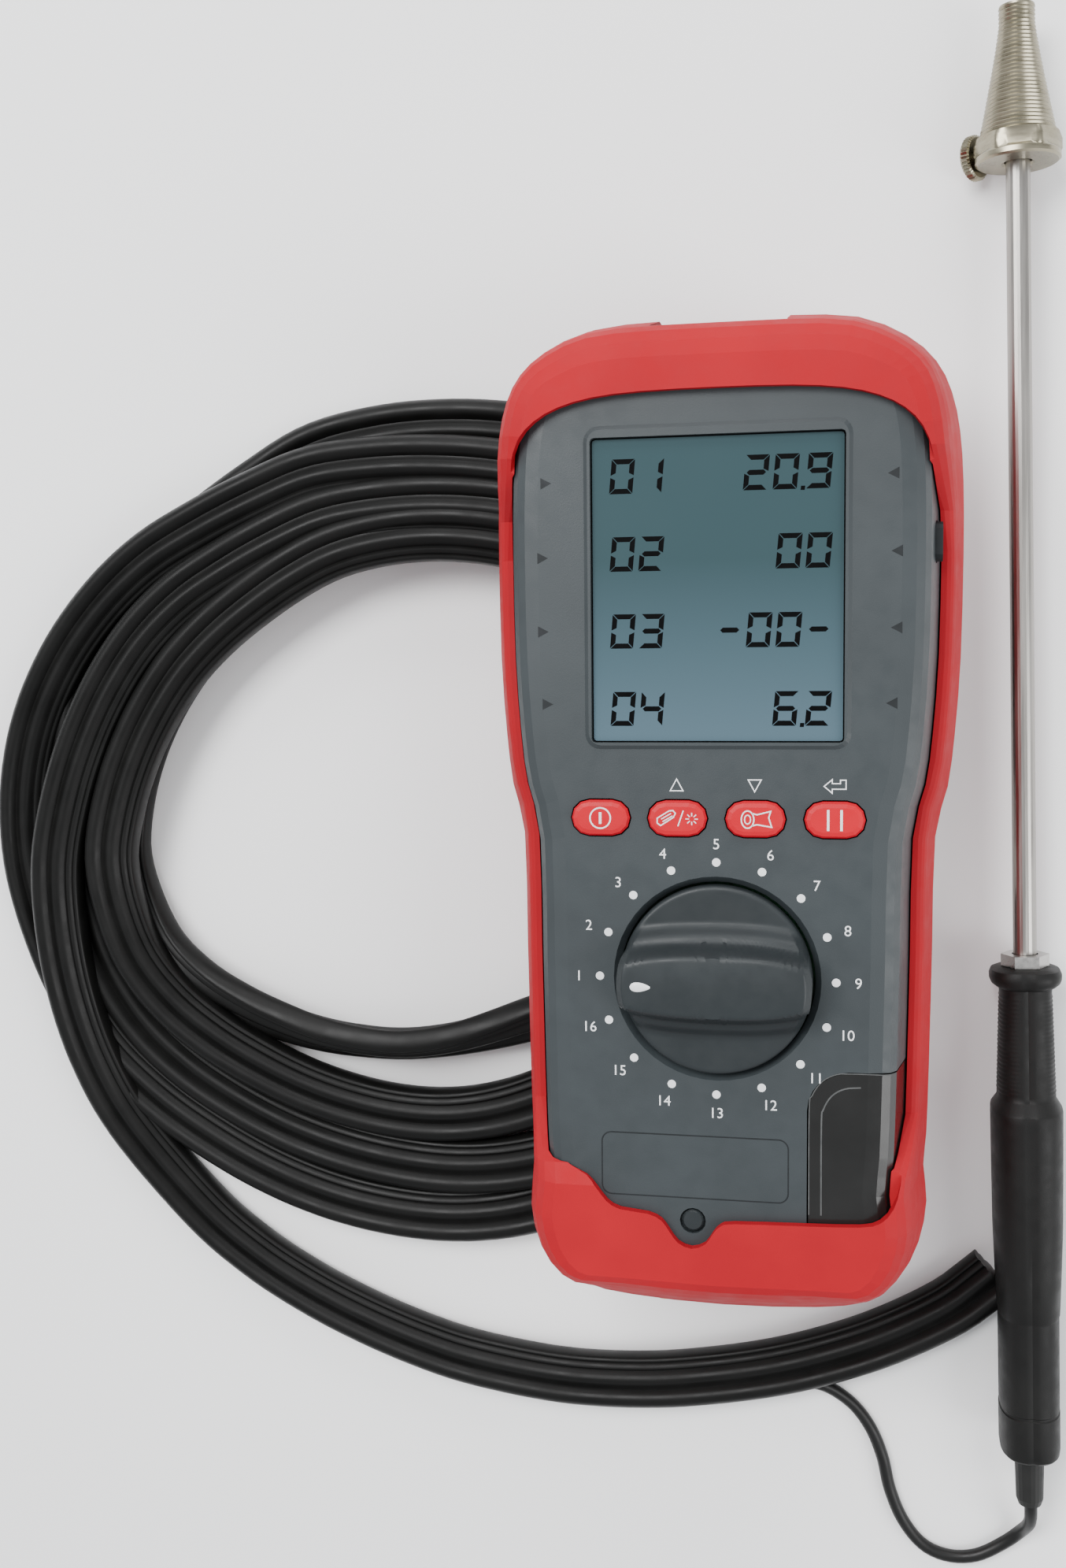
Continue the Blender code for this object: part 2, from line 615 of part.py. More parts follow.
def make_trap(meter):
    shape = case_rings(CASE_INSET, CASE_BACK, FACE)
    bowl = loft("water_trap", shape, "smoky_plastic", meter)
    keep = trap_corner(0, FACE - TRAP_DEPTH, FACE + 9)
    combine(bowl, "INTERSECT", keep)
    inner = loft("inner", case_rings(CASE_INSET + TRAP_WALL, CASE_BACK + TRAP_WALL, FACE - TRAP_WALL), None)
    space = trap_corner(-TRAP_WALL, FACE - TRAP_DEPTH + TRAP_WALL, FACE + 9)
    combine(inner, "INTERSECT", space)
    cut(bowl, inner)
    plug_x, plug_z = trap_middle()
    end = -BOOT_LENGTH / 2
    cut(bowl, rod("drain", 3.3, end - 5, end + 16, axis="y", at=(plug_x, 0, plug_z), sides=16))
    cut(bowl, rod("seat", 5.0, end - 5, end + 6.6, axis="y", at=(plug_x, 0, plug_z), sides=20))
    profile = [(0, end + 3.4), (4.2, end + 3.4), (4.6, end + 3.9), (4.6, end + 6.3),
               (2.9, end + 6.3), (2.9, end + 11.0), (0, end + 11.0)]
    turned("drain_plug", profile, "black_rubber", meter, "y", 20,
           at=(plug_x, 0, plug_z))
    rod("particle_filter", 4.4, end + 17.0, end + 37.0, "white_plastic", meter, "y", 20,
        at=(plug_x, 0, plug_z))


def trap_middle():
    return TRAP_LEFT + 7.6, FACE - TRAP_DEPTH / 2 - 8.0


def make_ports(meter):
    end = -BOOT_LENGTH / 2 + CASE_INSET - GAP
    height = CASE_BACK + 10.0
    spigot = [(1.4, end), (4.0, end), (4.0, end - 1.2), (2.6, end - 1.2), (3.1, end - 2.4),
              (2.4, end - 4.8), (1.4, end - 4.8)]
    turned("gas_inlet", spigot[::-1], "brass", meter, "y", 20, at=(6.0, 0, height))
    short = [(1.2, end), (3.4, end), (3.4, end - 1.2), (2.2, end - 1.2), (2.2, end - 4.2), (1.2, end - 4.2)]
    for i, x in enumerate((-4.5, -13.5)):
        turned(f"pressure_port_{i + 1}", short[::-1], "brass", meter, "y", 16, at=(x, 0, height + 6.0))
    socket = block("thermocouple_socket", (-12.0, end - 3.0, height - 6.5),
                   (0.0, end - 0.4, height - 0.5), "dark_plastic", meter)
    slots = [block("slot", (x - 1.2, end - 9.0, height - 4.4), (x + 1.2, end - 1.4, height - 3.4))
             for x in (-9.0, -3.0)]
    cut(socket, *slots)
    top = BOOT_LENGTH / 2 - CASE_INSET + GAP
    block("ir_window", (-11.0, top, CASE_BACK + 11.0), (11.0, top + 1.6, CASE_BACK + 23.0),
          "smoky_plastic", meter)
    place, radius, reach = charge_socket_place()
    prism_along_x("charge_socket", place, radius - GAP, reach, 1.4, "dark_plastic", meter)


def charge_socket_place():
    """Middle, end radius and half length of the oval charging socket in the right flank."""
    return (BOOT_WIDTH / 2 - CASE_INSET - 1.9, 0.274 * BOOT_LENGTH, FACE - 9.6), 2.2, 2.1


def prism_along_x(name, place, radius, reach, half, finish=None, parent=None):
    """Oval bar through the right flank, long side along the meter."""
    x, y, z = place
    outline = [(math.copysign(reach, math.cos(a)) + radius * math.cos(a), radius * math.sin(a))
               for a in (math.radians(15 + 30 * i) for i in range(12))]
    rings = [[(x + side, y + along, z + up) for along, up in outline] for side in (-half, half)]
    return loft(name, rings, finish, parent)


# ---------------------------------------------------------------- inside the case
def make_inside(meter):
    half = BOOT_WIDTH / 2 - INNER_INSET
    waist = 0.80 * half
    side = OUTLINE[13][0] * BOOT_WIDTH / 2 - INNER_INSET - 3.5
    top = 0.36 * BOOT_LENGTH
    low = -0.335 * BOOT_LENGTH
    trap = TRAP_TOP_Y * BOOT_LENGTH + 2.0
    outline = [(-waist, low), (TRAP_LEFT - 2, low), (TRAP_LEFT - 2, trap), (waist, trap),
               (waist, top), (-waist, top)]
    prism("circuit_board", outline, BOARD_TOP - BOARD_THICKNESS, BOARD_TOP, "board_green", meter)
    floor = INNER_BACK + GAP
    start = door_box(0)[0][1] + 4.0
    radius = CELL_DIAMETER / 2
    for i in range(3):
        x = (i - 1) * (CELL_DIAMETER + 1.0)
        rod(f"battery_cell_{i + 1}", radius, start, start + CELL_LENGTH, "steel", meter, "y", 20,
            at=(x, 0, floor + radius))
    gas_y = -0.135 * BOOT_LENGTH
    rod("oxygen_sensor", O2_SENSOR[0], floor, floor + O2_SENSOR[1], "white_plastic", meter,
        at=(O2_SENSOR[0] - side, gas_y, 0))
    rod("carbon_monoxide_sensor", CO_SENSOR[0], floor, floor + CO_SENSOR[1], "steel", meter,
        at=(13.0, gas_y + 4.0, 0))
    pump_y = gas_y - O2_SENSOR[0] - 3.0
    block("sample_pump", (1.0 - side, pump_y - PUMP_SIZE[1], floor),
          (1.0 - side + PUMP_SIZE[0], pump_y, floor + PUMP_SIZE[2]), "dark_plastic", meter)


# ---------------------------------------------------------------- flue probe, along +Y
def handle_section(half_width, half_depth, y, count=24):
    """Rounded rectangle section across the handle."""
    points = []
    for i in range(count):
        angle = 2 * math.pi * (i + 0.5) / count
        c, s = math.cos(angle), math.sin(angle)
        points.append((half_width * math.copysign(abs(c) ** 0.75, c), y,
                       half_depth * math.copysign(abs(s) ** 0.75, s)))
    return points


def handle_rings():
    """Sections from the nut end (y = 0) to the cable end."""
    wide = HANDLE_WIDTH / 2
    deep = PROBE_HEIGHT
    reach = HANDLE_LENGTH / 115.0
    stations = [(-1.8, 0.86, 0.66), (-2.6, 0.98, 0.74), (-4.4, 1.0, 0.76), (-5.8, 0.94, 0.72),
                (-6.6, 0.73, 0.62), (-31.0, 0.82, 0.70), (-33.5, 0.92, 0.90), (-35.2, 1.0, 1.0),
                (-62.0, 0.97, 1.0), (-80.0, 0.88, 0.96), (-82.0, 0.85, 0.94), (-103.8, 0.84, 0.92),
                (-104.6, 0.87, 0.95), (-113.6, 0.87, 0.95), (-115.0, 0.78, 0.86)]
    return [handle_section(wide * w, deep * d, y * reach) for y, w, d in stations]


def make_handle(probe):
    end = -HANDLE_LENGTH
    for name, side in (("handle_left", -1), ("handle_right", 1)):
        half = loft(name, handle_rings(), "dark_plastic", probe)
        near, far = sorted((side * 0.15, side * -40.0))
        other = block("other", (near, end - 20, -40), (far, 20, 40))
        tube_bore = rod("bore", TUBE_RADIUS + GAP, -14.0, 20.0, axis="y", sides=16)
        nut_bore = rod("bore", 4.0, -30.0, -13.0, axis="y", sides=16)
        gland_bore = rod("bore", 3.4 + GAP, end - 5, end + 8.0, axis="y", sides=16)
        cable_bore = rod("bore", 2.4, end + 7.0, -29.0, axis="y", sides=16)
        cut(half, other)
        cut(half, tube_bore)
        cut(half, nut_bore)
        cut(half, gland_bore)
        cut(half, cable_bore)
    nut = [(5.3 * math.cos(math.radians(60 * i)), 5.3 * math.sin(math.radians(60 * i)))
           for i in range(6)]
    nut = loft("handle_nut", [[(x, y, z) for x, z in nut] for y in (-1.5, 1.2)], "steel", probe)
    cut(nut, rod("bore", TUBE_RADIUS + GAP, -9, 9, axis="y", sides=24))
    gland = [(CABLE_DIAMETER / 2 + GAP, end + 7.0), (3.4, end + 7.0), (3.4, end - 1.0), (3.1, end - 12.0),
             (2.6, end - 13.5), (CABLE_DIAMETER / 2 + GAP, end - 13.5)]
    turned("cable_gland", gland[::-1], "black_rubber", probe, "y", 20)


def make_tube(probe):
    inner = -12.0
    tube = [(TUBE_BORE, inner), (TUBE_RADIUS, inner), (TUBE_RADIUS, TUBE_LENGTH - 0.4),
            (TUBE_RADIUS - 0.4, TUBE_LENGTH), (TUBE_BORE, TUBE_LENGTH)]
    turned("probe_tube", tube, "steel", probe, "y", 24)
    tip = [(0, TUBE_LENGTH - 30), (0.8, TUBE_LENGTH - 30), (0.8, TUBE_LENGTH - 2.5),
           (0.4, TUBE_LENGTH - 1.5), (0, TUBE_LENGTH - 1.5)]
    turned("thermocouple_tip", tip, "steel", probe, "y", 12)
    rod("hose_barb", 2.2, -27.5, -14.5, "brass", probe, "y", 16)


def make_cone(probe):
    """Depth cone with a hex flange, locked on the tube by a thumbscrew."""
    tip = TUBE_LENGTH - 0.6
    wall = TUBE_RADIUS + GAP
    base = tip - CONE_LENGTH + FLANGE_LENGTH + DISC_LENGTH
    profile = [(0, tip), (CONE_TIP_RADIUS, tip), (CONE_TIP_RADIUS, tip - 4.0)]
    steps = 12
    for i in range(1, steps + 1):
        share = i / steps
        radius = CONE_TIP_RADIUS + (CONE_BASE_RADIUS - CONE_TIP_RADIUS) * share ** 1.15
        profile.append((radius, tip - 4.0 - (tip - 4.0 - base) * share))
    profile += [(0, base)]
    cone = turned("depth_cone", profile[::-1], "nickel", probe, "y", 32)
    hexagon = [(FLANGE_CORNER * math.cos(a), FLANGE_CORNER * math.sin(a))
               for a in (math.radians(60 * i + 30) - THUMB_TILT for i in range(6))]
    flange = loft("flange", [[(x, y, z) for x, z in hexagon]
                             for y in (base - FLANGE_LENGTH, base + 0.5)], None)
    disc_end = base - FLANGE_LENGTH - DISC_LENGTH
    disc = turned("disc", [(0, disc_end), (DISC_RADIUS - 0.5, disc_end), (DISC_RADIUS, disc_end + 0.5),
                           (DISC_RADIUS, base - FLANGE_LENGTH + 0.2), (0, base - FLANGE_LENGTH + 0.2)],
                  axis="y", sides=32)
    join(cone, flange, disc)
    cut(cone, rod("bore", wall, disc_end - 5, tip + 5, axis="y", sides=32))
    middle = base - FLANGE_LENGTH / 2
    shank = rod("shank", 1.5 + GAP, -20, 0, axis="x", sides=16)
    shank.location = Vector((0, middle, 0)) * MM
    shank.rotation_euler = (0, THUMB_TILT, 0)
    cut(cone, shank)
    profile = [(0, -3.2), (1.5, -3.2), (1.5, -9.4), (THUMB_RADIUS - 0.3, -9.4), (THUMB_RADIUS, -9.7),
               (THUMB_RADIUS, -11.2), (THUMB_RADIUS - 0.5, -11.6), (0, -11.6)]
    thumb = turned("thumbscrew", profile, "nickel", probe, "x", 24)
    thumb.location = Vector((0, middle, 0)) * MM
    thumb.rotation_euler = (0, THUMB_TILT, 0)


# ---------------------------------------------------------------- hose, cable and coil
COIL_OUTER = [(-190.5, -5), (-187, 18), (-178, 37), (-164, 54.5), (-149, 67.5), (-121, 84),
              (-104, 92.5), (-88, 95.5), (-68, 96), (-40, 92), (-10, 80), (14, 60), (28, 34),
              (31, 5), (28, -28), (16, -62), (-8, -90), (-34, -105), (-57, -110), (-77, -110),
              (-94, -107), (-112, -102), (-129, -94), (-146, -84), (-163, -70), (-176, -52),
              (-186, -29)]
COIL_INNER = [(-149, -14), (-145, 6), (-137, 23), (-127, 36), (-112, 48.5), (-97.5, 56.7),
              (-84, 60.6), (-64, 61.5), (-40, 56), (-20, 44), (-8, 26), (-5, 4), (-9, -18),
              (-20, -33), (-36, -41), (-52, -45), (-68.6, -51), (-82, -54), (-98.8, -53.5),
              (-113.5, -50), (-128.4, -44), (-141, -34)]
# middle line of the loose stretch of hose, from the handle's left side to the coil
TAIL = [(58.2, -111.4), (50.5, -118.0), (38.3, -125.2), (26.0, -130.8), (10.8, -136.0), (-6.0, -139.8),
        (-23.2, -142.2), (-43.5, -142.6), (-65.0, -140.0), (-80.0, -136.2), (-95.0, -130.8),
        (-109.0, -124.4), (-123.0, -116.2), (-137.0, -105.0), (-147.0, -94.5), (-152.0, -88.4)]
# thin cable from the gland back to the hose, and the heights at which it comes down
CABLE_FALL = [PROBE_HEIGHT, PROBE_HEIGHT, 7.6, 3.2]
CABLE = [(68.82, -158.5), (68.9, -162.4), (69.0, -167.6), (67.6, -172.4), (63.5, -177.0),
         (57.4, -180.6), (51.0, -181.4), (45.0, -179.2), (40.2, -173.5), (37.0, -165.9),
         (35.2, -158.0), (32.4, -151.0), (28.2, -145.4), (22.5, -141.2), (17.0, -139.3)]


def even_ring(points, count):
    """Smooth closed curve read at equal angles about its middle."""
    curve = smooth_closed(points, 8)
    middle = sum(curve, Vector((0, 0))) / len(curve)
    angles = [math.atan2((p - middle).y, (p - middle).x) for p in curve]
    read = []
    for i in range(count):
        aim = -math.pi + 2 * math.pi * i / count
        nearest = min(range(len(curve)), key=lambda k: abs(math.remainder(angles[k] - aim, 2 * math.pi)))
        read.append(curve[nearest])
    return read


def make_coil(cords):
    outer = even_ring(COIL_OUTER, 60)
    inner = even_ring(COIL_INNER, 60)
    edge = HOSE_THICKNESS / 4
    lean = [(outer, 0.0, edge), (outer, edge, 0.0), (outer, COIL_TOP - edge, 0.0), (outer, COIL_TOP, edge),
            (inner, COIL_TOP, -edge), (inner, COIL_TOP - edge, 0.0), (inner, edge, 0.0), (inner, 0.0, -edge)]
    rings = [[(p.x, p.y, z) for p in inset(line, away)] for line, z, away in lean]
    loft("hose_coil", rings, "black_rubber", cords, closed=True)


def tube(name, points, diameter, spacing, cords):
    """Round stand-in for a loose stretch of hose or cable."""
    curve = bpy.data.curves.new(name, "CURVE")
    curve.dimensions = "3D"
    curve.bevel_depth = diameter / 2 * MM
    curve.bevel_resolution = 2
    curve.use_fill_caps = True
    spline = curve.splines.new("POLY")
    line = smooth_open(points, spacing)
    spline.points.add(len(line) - 1)
    for point, place in zip(spline.points, line):
        point.co = (*(place * MM), 1.0)
    made = bpy.data.objects.new(name, curve)
    bpy.context.scene.collection.objects.link(made)
    curve.materials.append(MATERIALS["black_rubber"])
    made.parent = cords


def make_cords(cords):
    lying = HOSE_THICKNESS / 2 + 0.02
    tube("hose_tail", [(x, y, lying) for x, y in TAIL], HOSE_THICKNESS, 14.0, cords)
    lying = CABLE_DIAMETER / 2 + 0.02
    levels = CABLE_FALL + [lying] * (len(CABLE) - len(CABLE_FALL))
    tube("thermocouple_cable", [(x, y, z) for (x, y), z in zip(CABLE, levels)], CABLE_DIAMETER, 4.0, cords)
    make_coil(cords)
    connector = [(0, -16), (4.0, -16), (5.5, -14), (5.5, -2), (4.2, -1), (4.2, 6), (3.4, 7), (3.4, 14),
                 (0, 14)]
    turned("hose_connector", connector, "steel", cords, "y", 20, at=(37.5, -7.0, 5.6))


def new_frame(name, at=(0, 0, 0), turn=0.0, parent=None):
    frame = bpy.data.objects.new(name, None)
    bpy.context.scene.collection.objects.link(frame)
    frame.location = Vector(at) * MM
    frame.rotation_euler.z = turn
    frame.parent = parent
    return frame


def stand_on_origin(root, cords):
    """Shift everything so that the box of the meter and the probe stands on the origin."""
    bpy.context.view_layer.update()
    points = [thing.matrix_world @ vertex.co for thing in bpy.data.objects
              if thing.type == "MESH" and thing.parent != cords for vertex in thing.data.vertices]
    for axis in (0, 1):
        values = [point[axis] for point in points]
        root.location[axis] = -(min(values) + max(values)) / 2
    bpy.context.view_layer.update()


def main():
    clear_scene()
    make_materials()
    root = new_frame("assembly")
    meter = new_frame("meter", parent=root)
    probe = new_frame("probe", (*PROBE_AT, PROBE_HEIGHT), PROBE_TURN, root)
    cords = new_frame("cords", parent=root)
    make_boot(meter)
    make_front_shell(meter)
    make_rear_shell(meter)
    make_case_trim(meter)
    make_buttons(meter)
    make_selector(meter)
    make_screen(meter)
    make_trap(meter)
    make_ports(meter)
    make_inside(meter)
    make_handle(probe)
    make_tube(probe)
    make_cone(probe)
    make_cords(cords)
    stand_on_origin(root, cords)


main()
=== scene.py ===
import json
import math

import bpy
import numpy as np
from mathutils import Euler, Matrix, Vector


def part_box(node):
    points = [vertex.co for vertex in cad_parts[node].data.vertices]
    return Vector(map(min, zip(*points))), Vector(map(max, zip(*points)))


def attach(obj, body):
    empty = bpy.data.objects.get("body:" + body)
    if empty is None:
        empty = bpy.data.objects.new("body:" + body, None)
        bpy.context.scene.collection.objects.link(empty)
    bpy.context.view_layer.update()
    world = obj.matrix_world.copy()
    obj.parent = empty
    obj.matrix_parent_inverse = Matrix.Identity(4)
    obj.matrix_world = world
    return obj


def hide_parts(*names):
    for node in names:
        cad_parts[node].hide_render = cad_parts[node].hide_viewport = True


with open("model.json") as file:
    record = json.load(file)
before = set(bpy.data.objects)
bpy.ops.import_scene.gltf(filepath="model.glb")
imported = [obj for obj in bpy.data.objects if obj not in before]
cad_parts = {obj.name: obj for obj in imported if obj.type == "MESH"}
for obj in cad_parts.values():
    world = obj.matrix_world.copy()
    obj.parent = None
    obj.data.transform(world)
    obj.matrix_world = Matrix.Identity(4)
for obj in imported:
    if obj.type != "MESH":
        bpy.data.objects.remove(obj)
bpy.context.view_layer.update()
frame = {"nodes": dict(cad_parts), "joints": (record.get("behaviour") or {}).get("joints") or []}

MM = 0.001
ROOT = "meter_and_probe"

# ------------------------------------------------------------------ places, from the frame
JOINTS = {joint["name"]: joint for joint in frame["joints"]}
DIAL = Vector(JOINTS["selector_turn"]["pos_m"])        # middle of the dial, at the face
FACE = DIAL.z / MM
DIAL_Y = -29.3                                         # millimetres from the meter's middle
MIDDLE = DIAL - Vector((0.0, DIAL_Y, FACE)) * MM        # middle of the boot, on the table
PROBE_AXIS = -Vector(JOINTS["cone_slide"]["axis"])
PROBE_FOOT = Vector((65.6, -33.0, 10.2)) * MM + MIDDLE  # nut face of the handle
PROBE_TURN = math.atan2(-PROBE_AXIS.x, PROBE_AXIS.y)
PROBE = Matrix.Translation(PROBE_FOOT) @ Matrix.Rotation(PROBE_TURN, 4, "Z")
METER = Matrix.Translation(MIDDLE)

# sizes in millimetres
HOSE_WIDTH = 13.6
HOSE_THICKNESS = 8.0
CABLE_DIAMETER = 3.0
HOSE_SPACING = 3.4                                     # between sections along the hose
CABLE_SPACING = 1.5
BOOT_WIDTH = 98.4
KEY_PITCH = BOOT_WIDTH * 0.1596
KEY_Y = 3.6
KEY_RISE = 1.1
KNOB_RADIUS = 19.4
KNOB_RIM = 1.6
KNOB_TOP = 10.0
BAR_HALF = 6.5                                         # half width of the knob's grip bar
POINTER_X = -14.4
MARK_RADIUS = 24.0                                     # dots round the dial
MARK_SIZE = 0.86
NUMBER_REACH = (28.4, 27.8)                            # numbers round the dial, across and up
NUMBER_HEIGHT = 2.2
MARKS = 16
PRINT_LIFT = 0.02                                      # print above the surface under it
CONE_TIP, CONE_BASE = 208.4, 181.0                     # from the handle's nut face
CONE_RINGS = 31
RING_DEPTH = 0.26
FLANGE_CORNER = 9.4
GRIP_HALF = (7.9, 10.2)                                # handle's half width and half depth


# ------------------------------------------------------------------ curves and meshes
def catmull(points, steps, closed=False):
    """Smooth curve through points of any dimension."""
    points = [np.array(p, float) for p in points]
    if closed:
        line = [points[-1]] + points + points[:2]
    else:
        line = [2 * points[0] - points[1]] + points + [2 * points[-1] - points[-2]]
    curve = []
    for p0, p1, p2, p3 in zip(line, line[1:], line[2:], line[3:]):
        for s in range(steps):
            t = s / steps
            curve.append(0.5 * (2 * p1 + (p2 - p0) * t + (2 * p0 - 5 * p1 + 4 * p2 - p3) * t * t
                                + (3 * p1 - p0 - 3 * p2 + p3) * t ** 3))
    if not closed:
        curve.append(points[-1])
    return np.array(curve)


def resample(curve, spacing):
    """Rows at an even spacing along the first three columns."""
    steps = np.linalg.norm(np.diff(curve[:, :3], axis=0), axis=1)
    run = np.concatenate([[0.0], np.cumsum(steps)])
    reads = np.linspace(0.0, run[-1], max(2, round(run[-1] / spacing)) + 1)
    return np.stack([np.interp(reads, run, column) for column in curve.T], axis=1)


def piece(name, points, faces, material, body=ROOT, place=METER, smooth=35):
    """A mesh from millimetre points in the meter's or the probe's own axes."""
    mesh = bpy.data.meshes.new(name)
    mesh.from_pydata([tuple(place @ (Vector(p) * MM)) for p in points], [], faces)
    mesh.validate()
    mesh.update()
    mesh.shade_smooth()
    mesh.set_sharp_from_angle(angle=math.radians(smooth))
    made = bpy.data.objects.new(name, mesh)
    bpy.context.scene.collection.objects.link(made)
    mesh.materials.append(material)
    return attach(made, body)


def skin(rings, closed_loop=False):
    """Points and faces of a surface through rings with equal point counts."""
    count = len(rings[0])
    points = [p for ring in rings for p in ring]
    faces = []
    last = len(rings) if closed_loop else len(rings) - 1
    for r in range(last):
        low, high = r * count, ((r + 1) % len(rings)) * count
        for i in range(count):
            j = (i + 1) % count
            faces.append((low + i, low + j, high + j, high + i))
    if not closed_loop:
        faces.append(tuple(range(count))[::-1])
        faces.append(tuple(range((len(rings) - 1) * count, len(rings) * count)))
    return points, faces


def turned(name, profile, material, body=ROOT, place=METER, sides=48, reach=None, smooth=35):
    """Revolve a closed loop of (radius, y) pairs; reach(angle, index) may limit the radius."""
    rings = []
    for index, (radius, y) in enumerate(profile):
        ring = []
        for i in range(sides):
            angle = 2 * math.pi * i / sides
            r = min(radius, reach(angle, index)) if reach else radius
            ring.append((r * math.cos(angle), y, r * math.sin(angle)))
        rings.append(ring[::-1])
    points, faces = skin(rings, closed_loop=True)
    return piece(name, points, faces, material, body, place, smooth)


# ------------------------------------------------------------------ materials
def shader_of(name):
    material = bpy.data.materials.new(name)
    material.use_nodes = True
    tree = material.node_tree
    return material, tree, tree.nodes["Principled BSDF"]


def noise(tree, scale, detail=3.0, rough=0.55, stretch=None):
    place = tree.nodes.new("ShaderNodeTexCoord").outputs["Object"]
    if stretch:
        mapping = tree.nodes.new("ShaderNodeMapping")
        mapping.inputs["Scale"].default_value = stretch
        tree.links.new(place, mapping.inputs["Vector"])
        place = mapping.outputs["Vector"]
    texture = tree.nodes.new("ShaderNodeTexNoise")
    texture.inputs["Scale"].default_value = scale
    texture.inputs["Detail"].default_value = detail
    texture.inputs["Roughness"].default_value = rough
    tree.links.new(place, texture.inputs["Vector"])
    return texture.outputs["Fac"]


def ramp(tree, value, stops, low=0.35, high=0.65):
    """Colour ramp between two colours or greys."""
    node = tree.nodes.new("ShaderNodeValToRGB")
    elements = node.color_ramp.elements
    elements[0].position = low
    elements[1].position = high
    for element, colour in zip(elements, stops):
        colour = (colour,) * 3 if isinstance(colour, float) else colour
        element.color = (*colour, 1.0)
    tree.links.new(value, node.inputs["Fac"])
    return node.outputs["Color"]


def bump(tree, value, strength, distance):
    node = tree.nodes.new("ShaderNodeBump")
    node.inputs["Strength"].default_value = strength
    node.inputs["Distance"].default_value = distance
    tree.links.new(value, node.inputs["Height"])
    return node.outputs["Normal"]


def mottled(name, dark, light, rough, patch=60.0, grain=2500.0, depth=0.00003, strength=0.35,
            metallic=0.0, specular=0.5):
    """Moulded surface: slow colour change, uneven gloss and a fine grain."""
    material, tree, shader = shader_of(name)
    slow = noise(tree, patch, 4.0)
    tree.links.new(ramp(tree, slow, (dark, light)), shader.inputs["Base Color"])
    tree.links.new(ramp(tree, noise(tree, patch * 4), (rough[0], rough[1])), shader.inputs["Roughness"])
    fine = noise(tree, grain, 2.0)
    tree.links.new(bump(tree, fine, strength, depth), shader.inputs["Normal"])
    shader.inputs["Metallic"].default_value = metallic
    shader.inputs["Specular IOR Level"].default_value = specular
    return material


def shade(colour, factor):
    return tuple(min(1.0, c * factor) for c in colour)


RED = (0.335, 0.0055, 0.0125)
SLATE = (0.0275, 0.034, 0.037)
BLACK = (0.0042, 0.0042, 0.0040)
CRIMSON = (0.46, 0.0035, 0.015)
PRINT = (0.78, 0.79, 0.80)

M_BOOT = mottled("boot_rubber", shade(RED, 0.93), shade(RED, 1.06), (0.58, 0.70), 45.0, 3200.0,
                 0.00004, 0.3, specular=0.14)
M_SHELL = mottled("slate_moulding", shade(SLATE, 0.94), shade(SLATE, 1.07), (0.42, 0.52), 55.0, 3600.0,
                  0.00004, 0.4, specular=0.35)
M_KNOB = mottled("knob_moulding", shade(SLATE, 0.58), shade(SLATE, 0.66), (0.38, 0.48), 70.0, 3600.0,
                 0.00003, 0.35, specular=0.28)
M_REAR = mottled("rear_moulding", (0.012, 0.013, 0.014), (0.018, 0.019, 0.020), (0.42, 0.55), specular=0.3)
M_HANDLE = mottled("handle_moulding", (0.0050, 0.0050, 0.0048), (0.0072, 0.0072, 0.0068), (0.46, 0.58), 70.0,
                   3000.0, 0.00006, 0.5, specular=0.2)
M_HOSE = mottled("hose_neoprene", BLACK, shade(BLACK, 1.5), (0.36, 0.48), 35.0, 2600.0, 0.00003, 0.25,
                 specular=0.16)
M_CABLE = mottled("cable_jacket", BLACK, shade(BLACK, 1.5), (0.38, 0.5), 50.0, 2600.0, 0.00003, 0.25,
                  specular=0.3)
M_GLAND = mottled("gland_rubber", shade(BLACK, 2.0), shade(BLACK, 2.8), (0.45, 0.58), 60.0, 2600.0,
                  0.00004, 0.3, specular=0.3)
M_KEY = mottled("key_crimson", shade(CRIMSON, 0.95), shade(CRIMSON, 1.04), (0.38, 0.48), 90.0, 3000.0,
                0.00002, 0.25, specular=0.18)
M_PRINT = mottled("white_print", shade(PRINT, 0.95), PRINT, (0.45, 0.55), 300.0, 4000.0)
M_MARK = mottled("pointer_white", shade(PRINT, 0.9), shade(PRINT, 1.05), (0.25, 0.35), 200.0, 3000.0)
M_INK = mottled("display_ink", (0.0012, 0.0014, 0.0016), (0.0022, 0.0024, 0.0026), (0.55, 0.65), 300.0,
                specular=0.04)
M_RECESS = mottled("recess_shadow", (0.010, 0.012, 0.013), (0.014, 0.016, 0.018), (0.5, 0.6), 300.0,
                   specular=0.2)
# Painted highlight: light grey standing in for the glints along the water trap's rim and inner edge.
M_TRAP_HIGHLIGHT = mottled("painted_trap_edge_highlight", (0.050, 0.052, 0.052), (0.075, 0.077, 0.077), (0.3, 0.4), 300.0)
M_BRASS = mottled("bright_brass", (0.62, 0.46, 0.20), (0.70, 0.52, 0.24), (0.22, 0.34), 90.0,
                  metallic=1.0)
M_BOARD = mottled("solder_resist", (0.010, 0.075, 0.028), (0.016, 0.10, 0.04), (0.35, 0.5), 200.0)
M_WHITE = mottled("filter_white", (0.62, 0.62, 0.60), (0.70, 0.70, 0.68), (0.5, 0.65), 200.0)


def brushed(name, dark, light, rough, stretch, scale=900.0, depth=0.00002):
    """Metal with fine lines; stretch shortens the pattern across the lines."""
    material, tree, shader = shader_of(name)
    lines = noise(tree, scale, 4.0, 0.6, stretch)
    tree.links.new(ramp(tree, lines, (dark, light)), shader.inputs["Base Color"])
    tree.links.new(ramp(tree, lines, (rough[0], rough[1])), shader.inputs["Roughness"])
    tree.links.new(bump(tree, lines, 0.25, depth), shader.inputs["Normal"])
    shader.inputs["Metallic"].default_value = 1.0
    return material


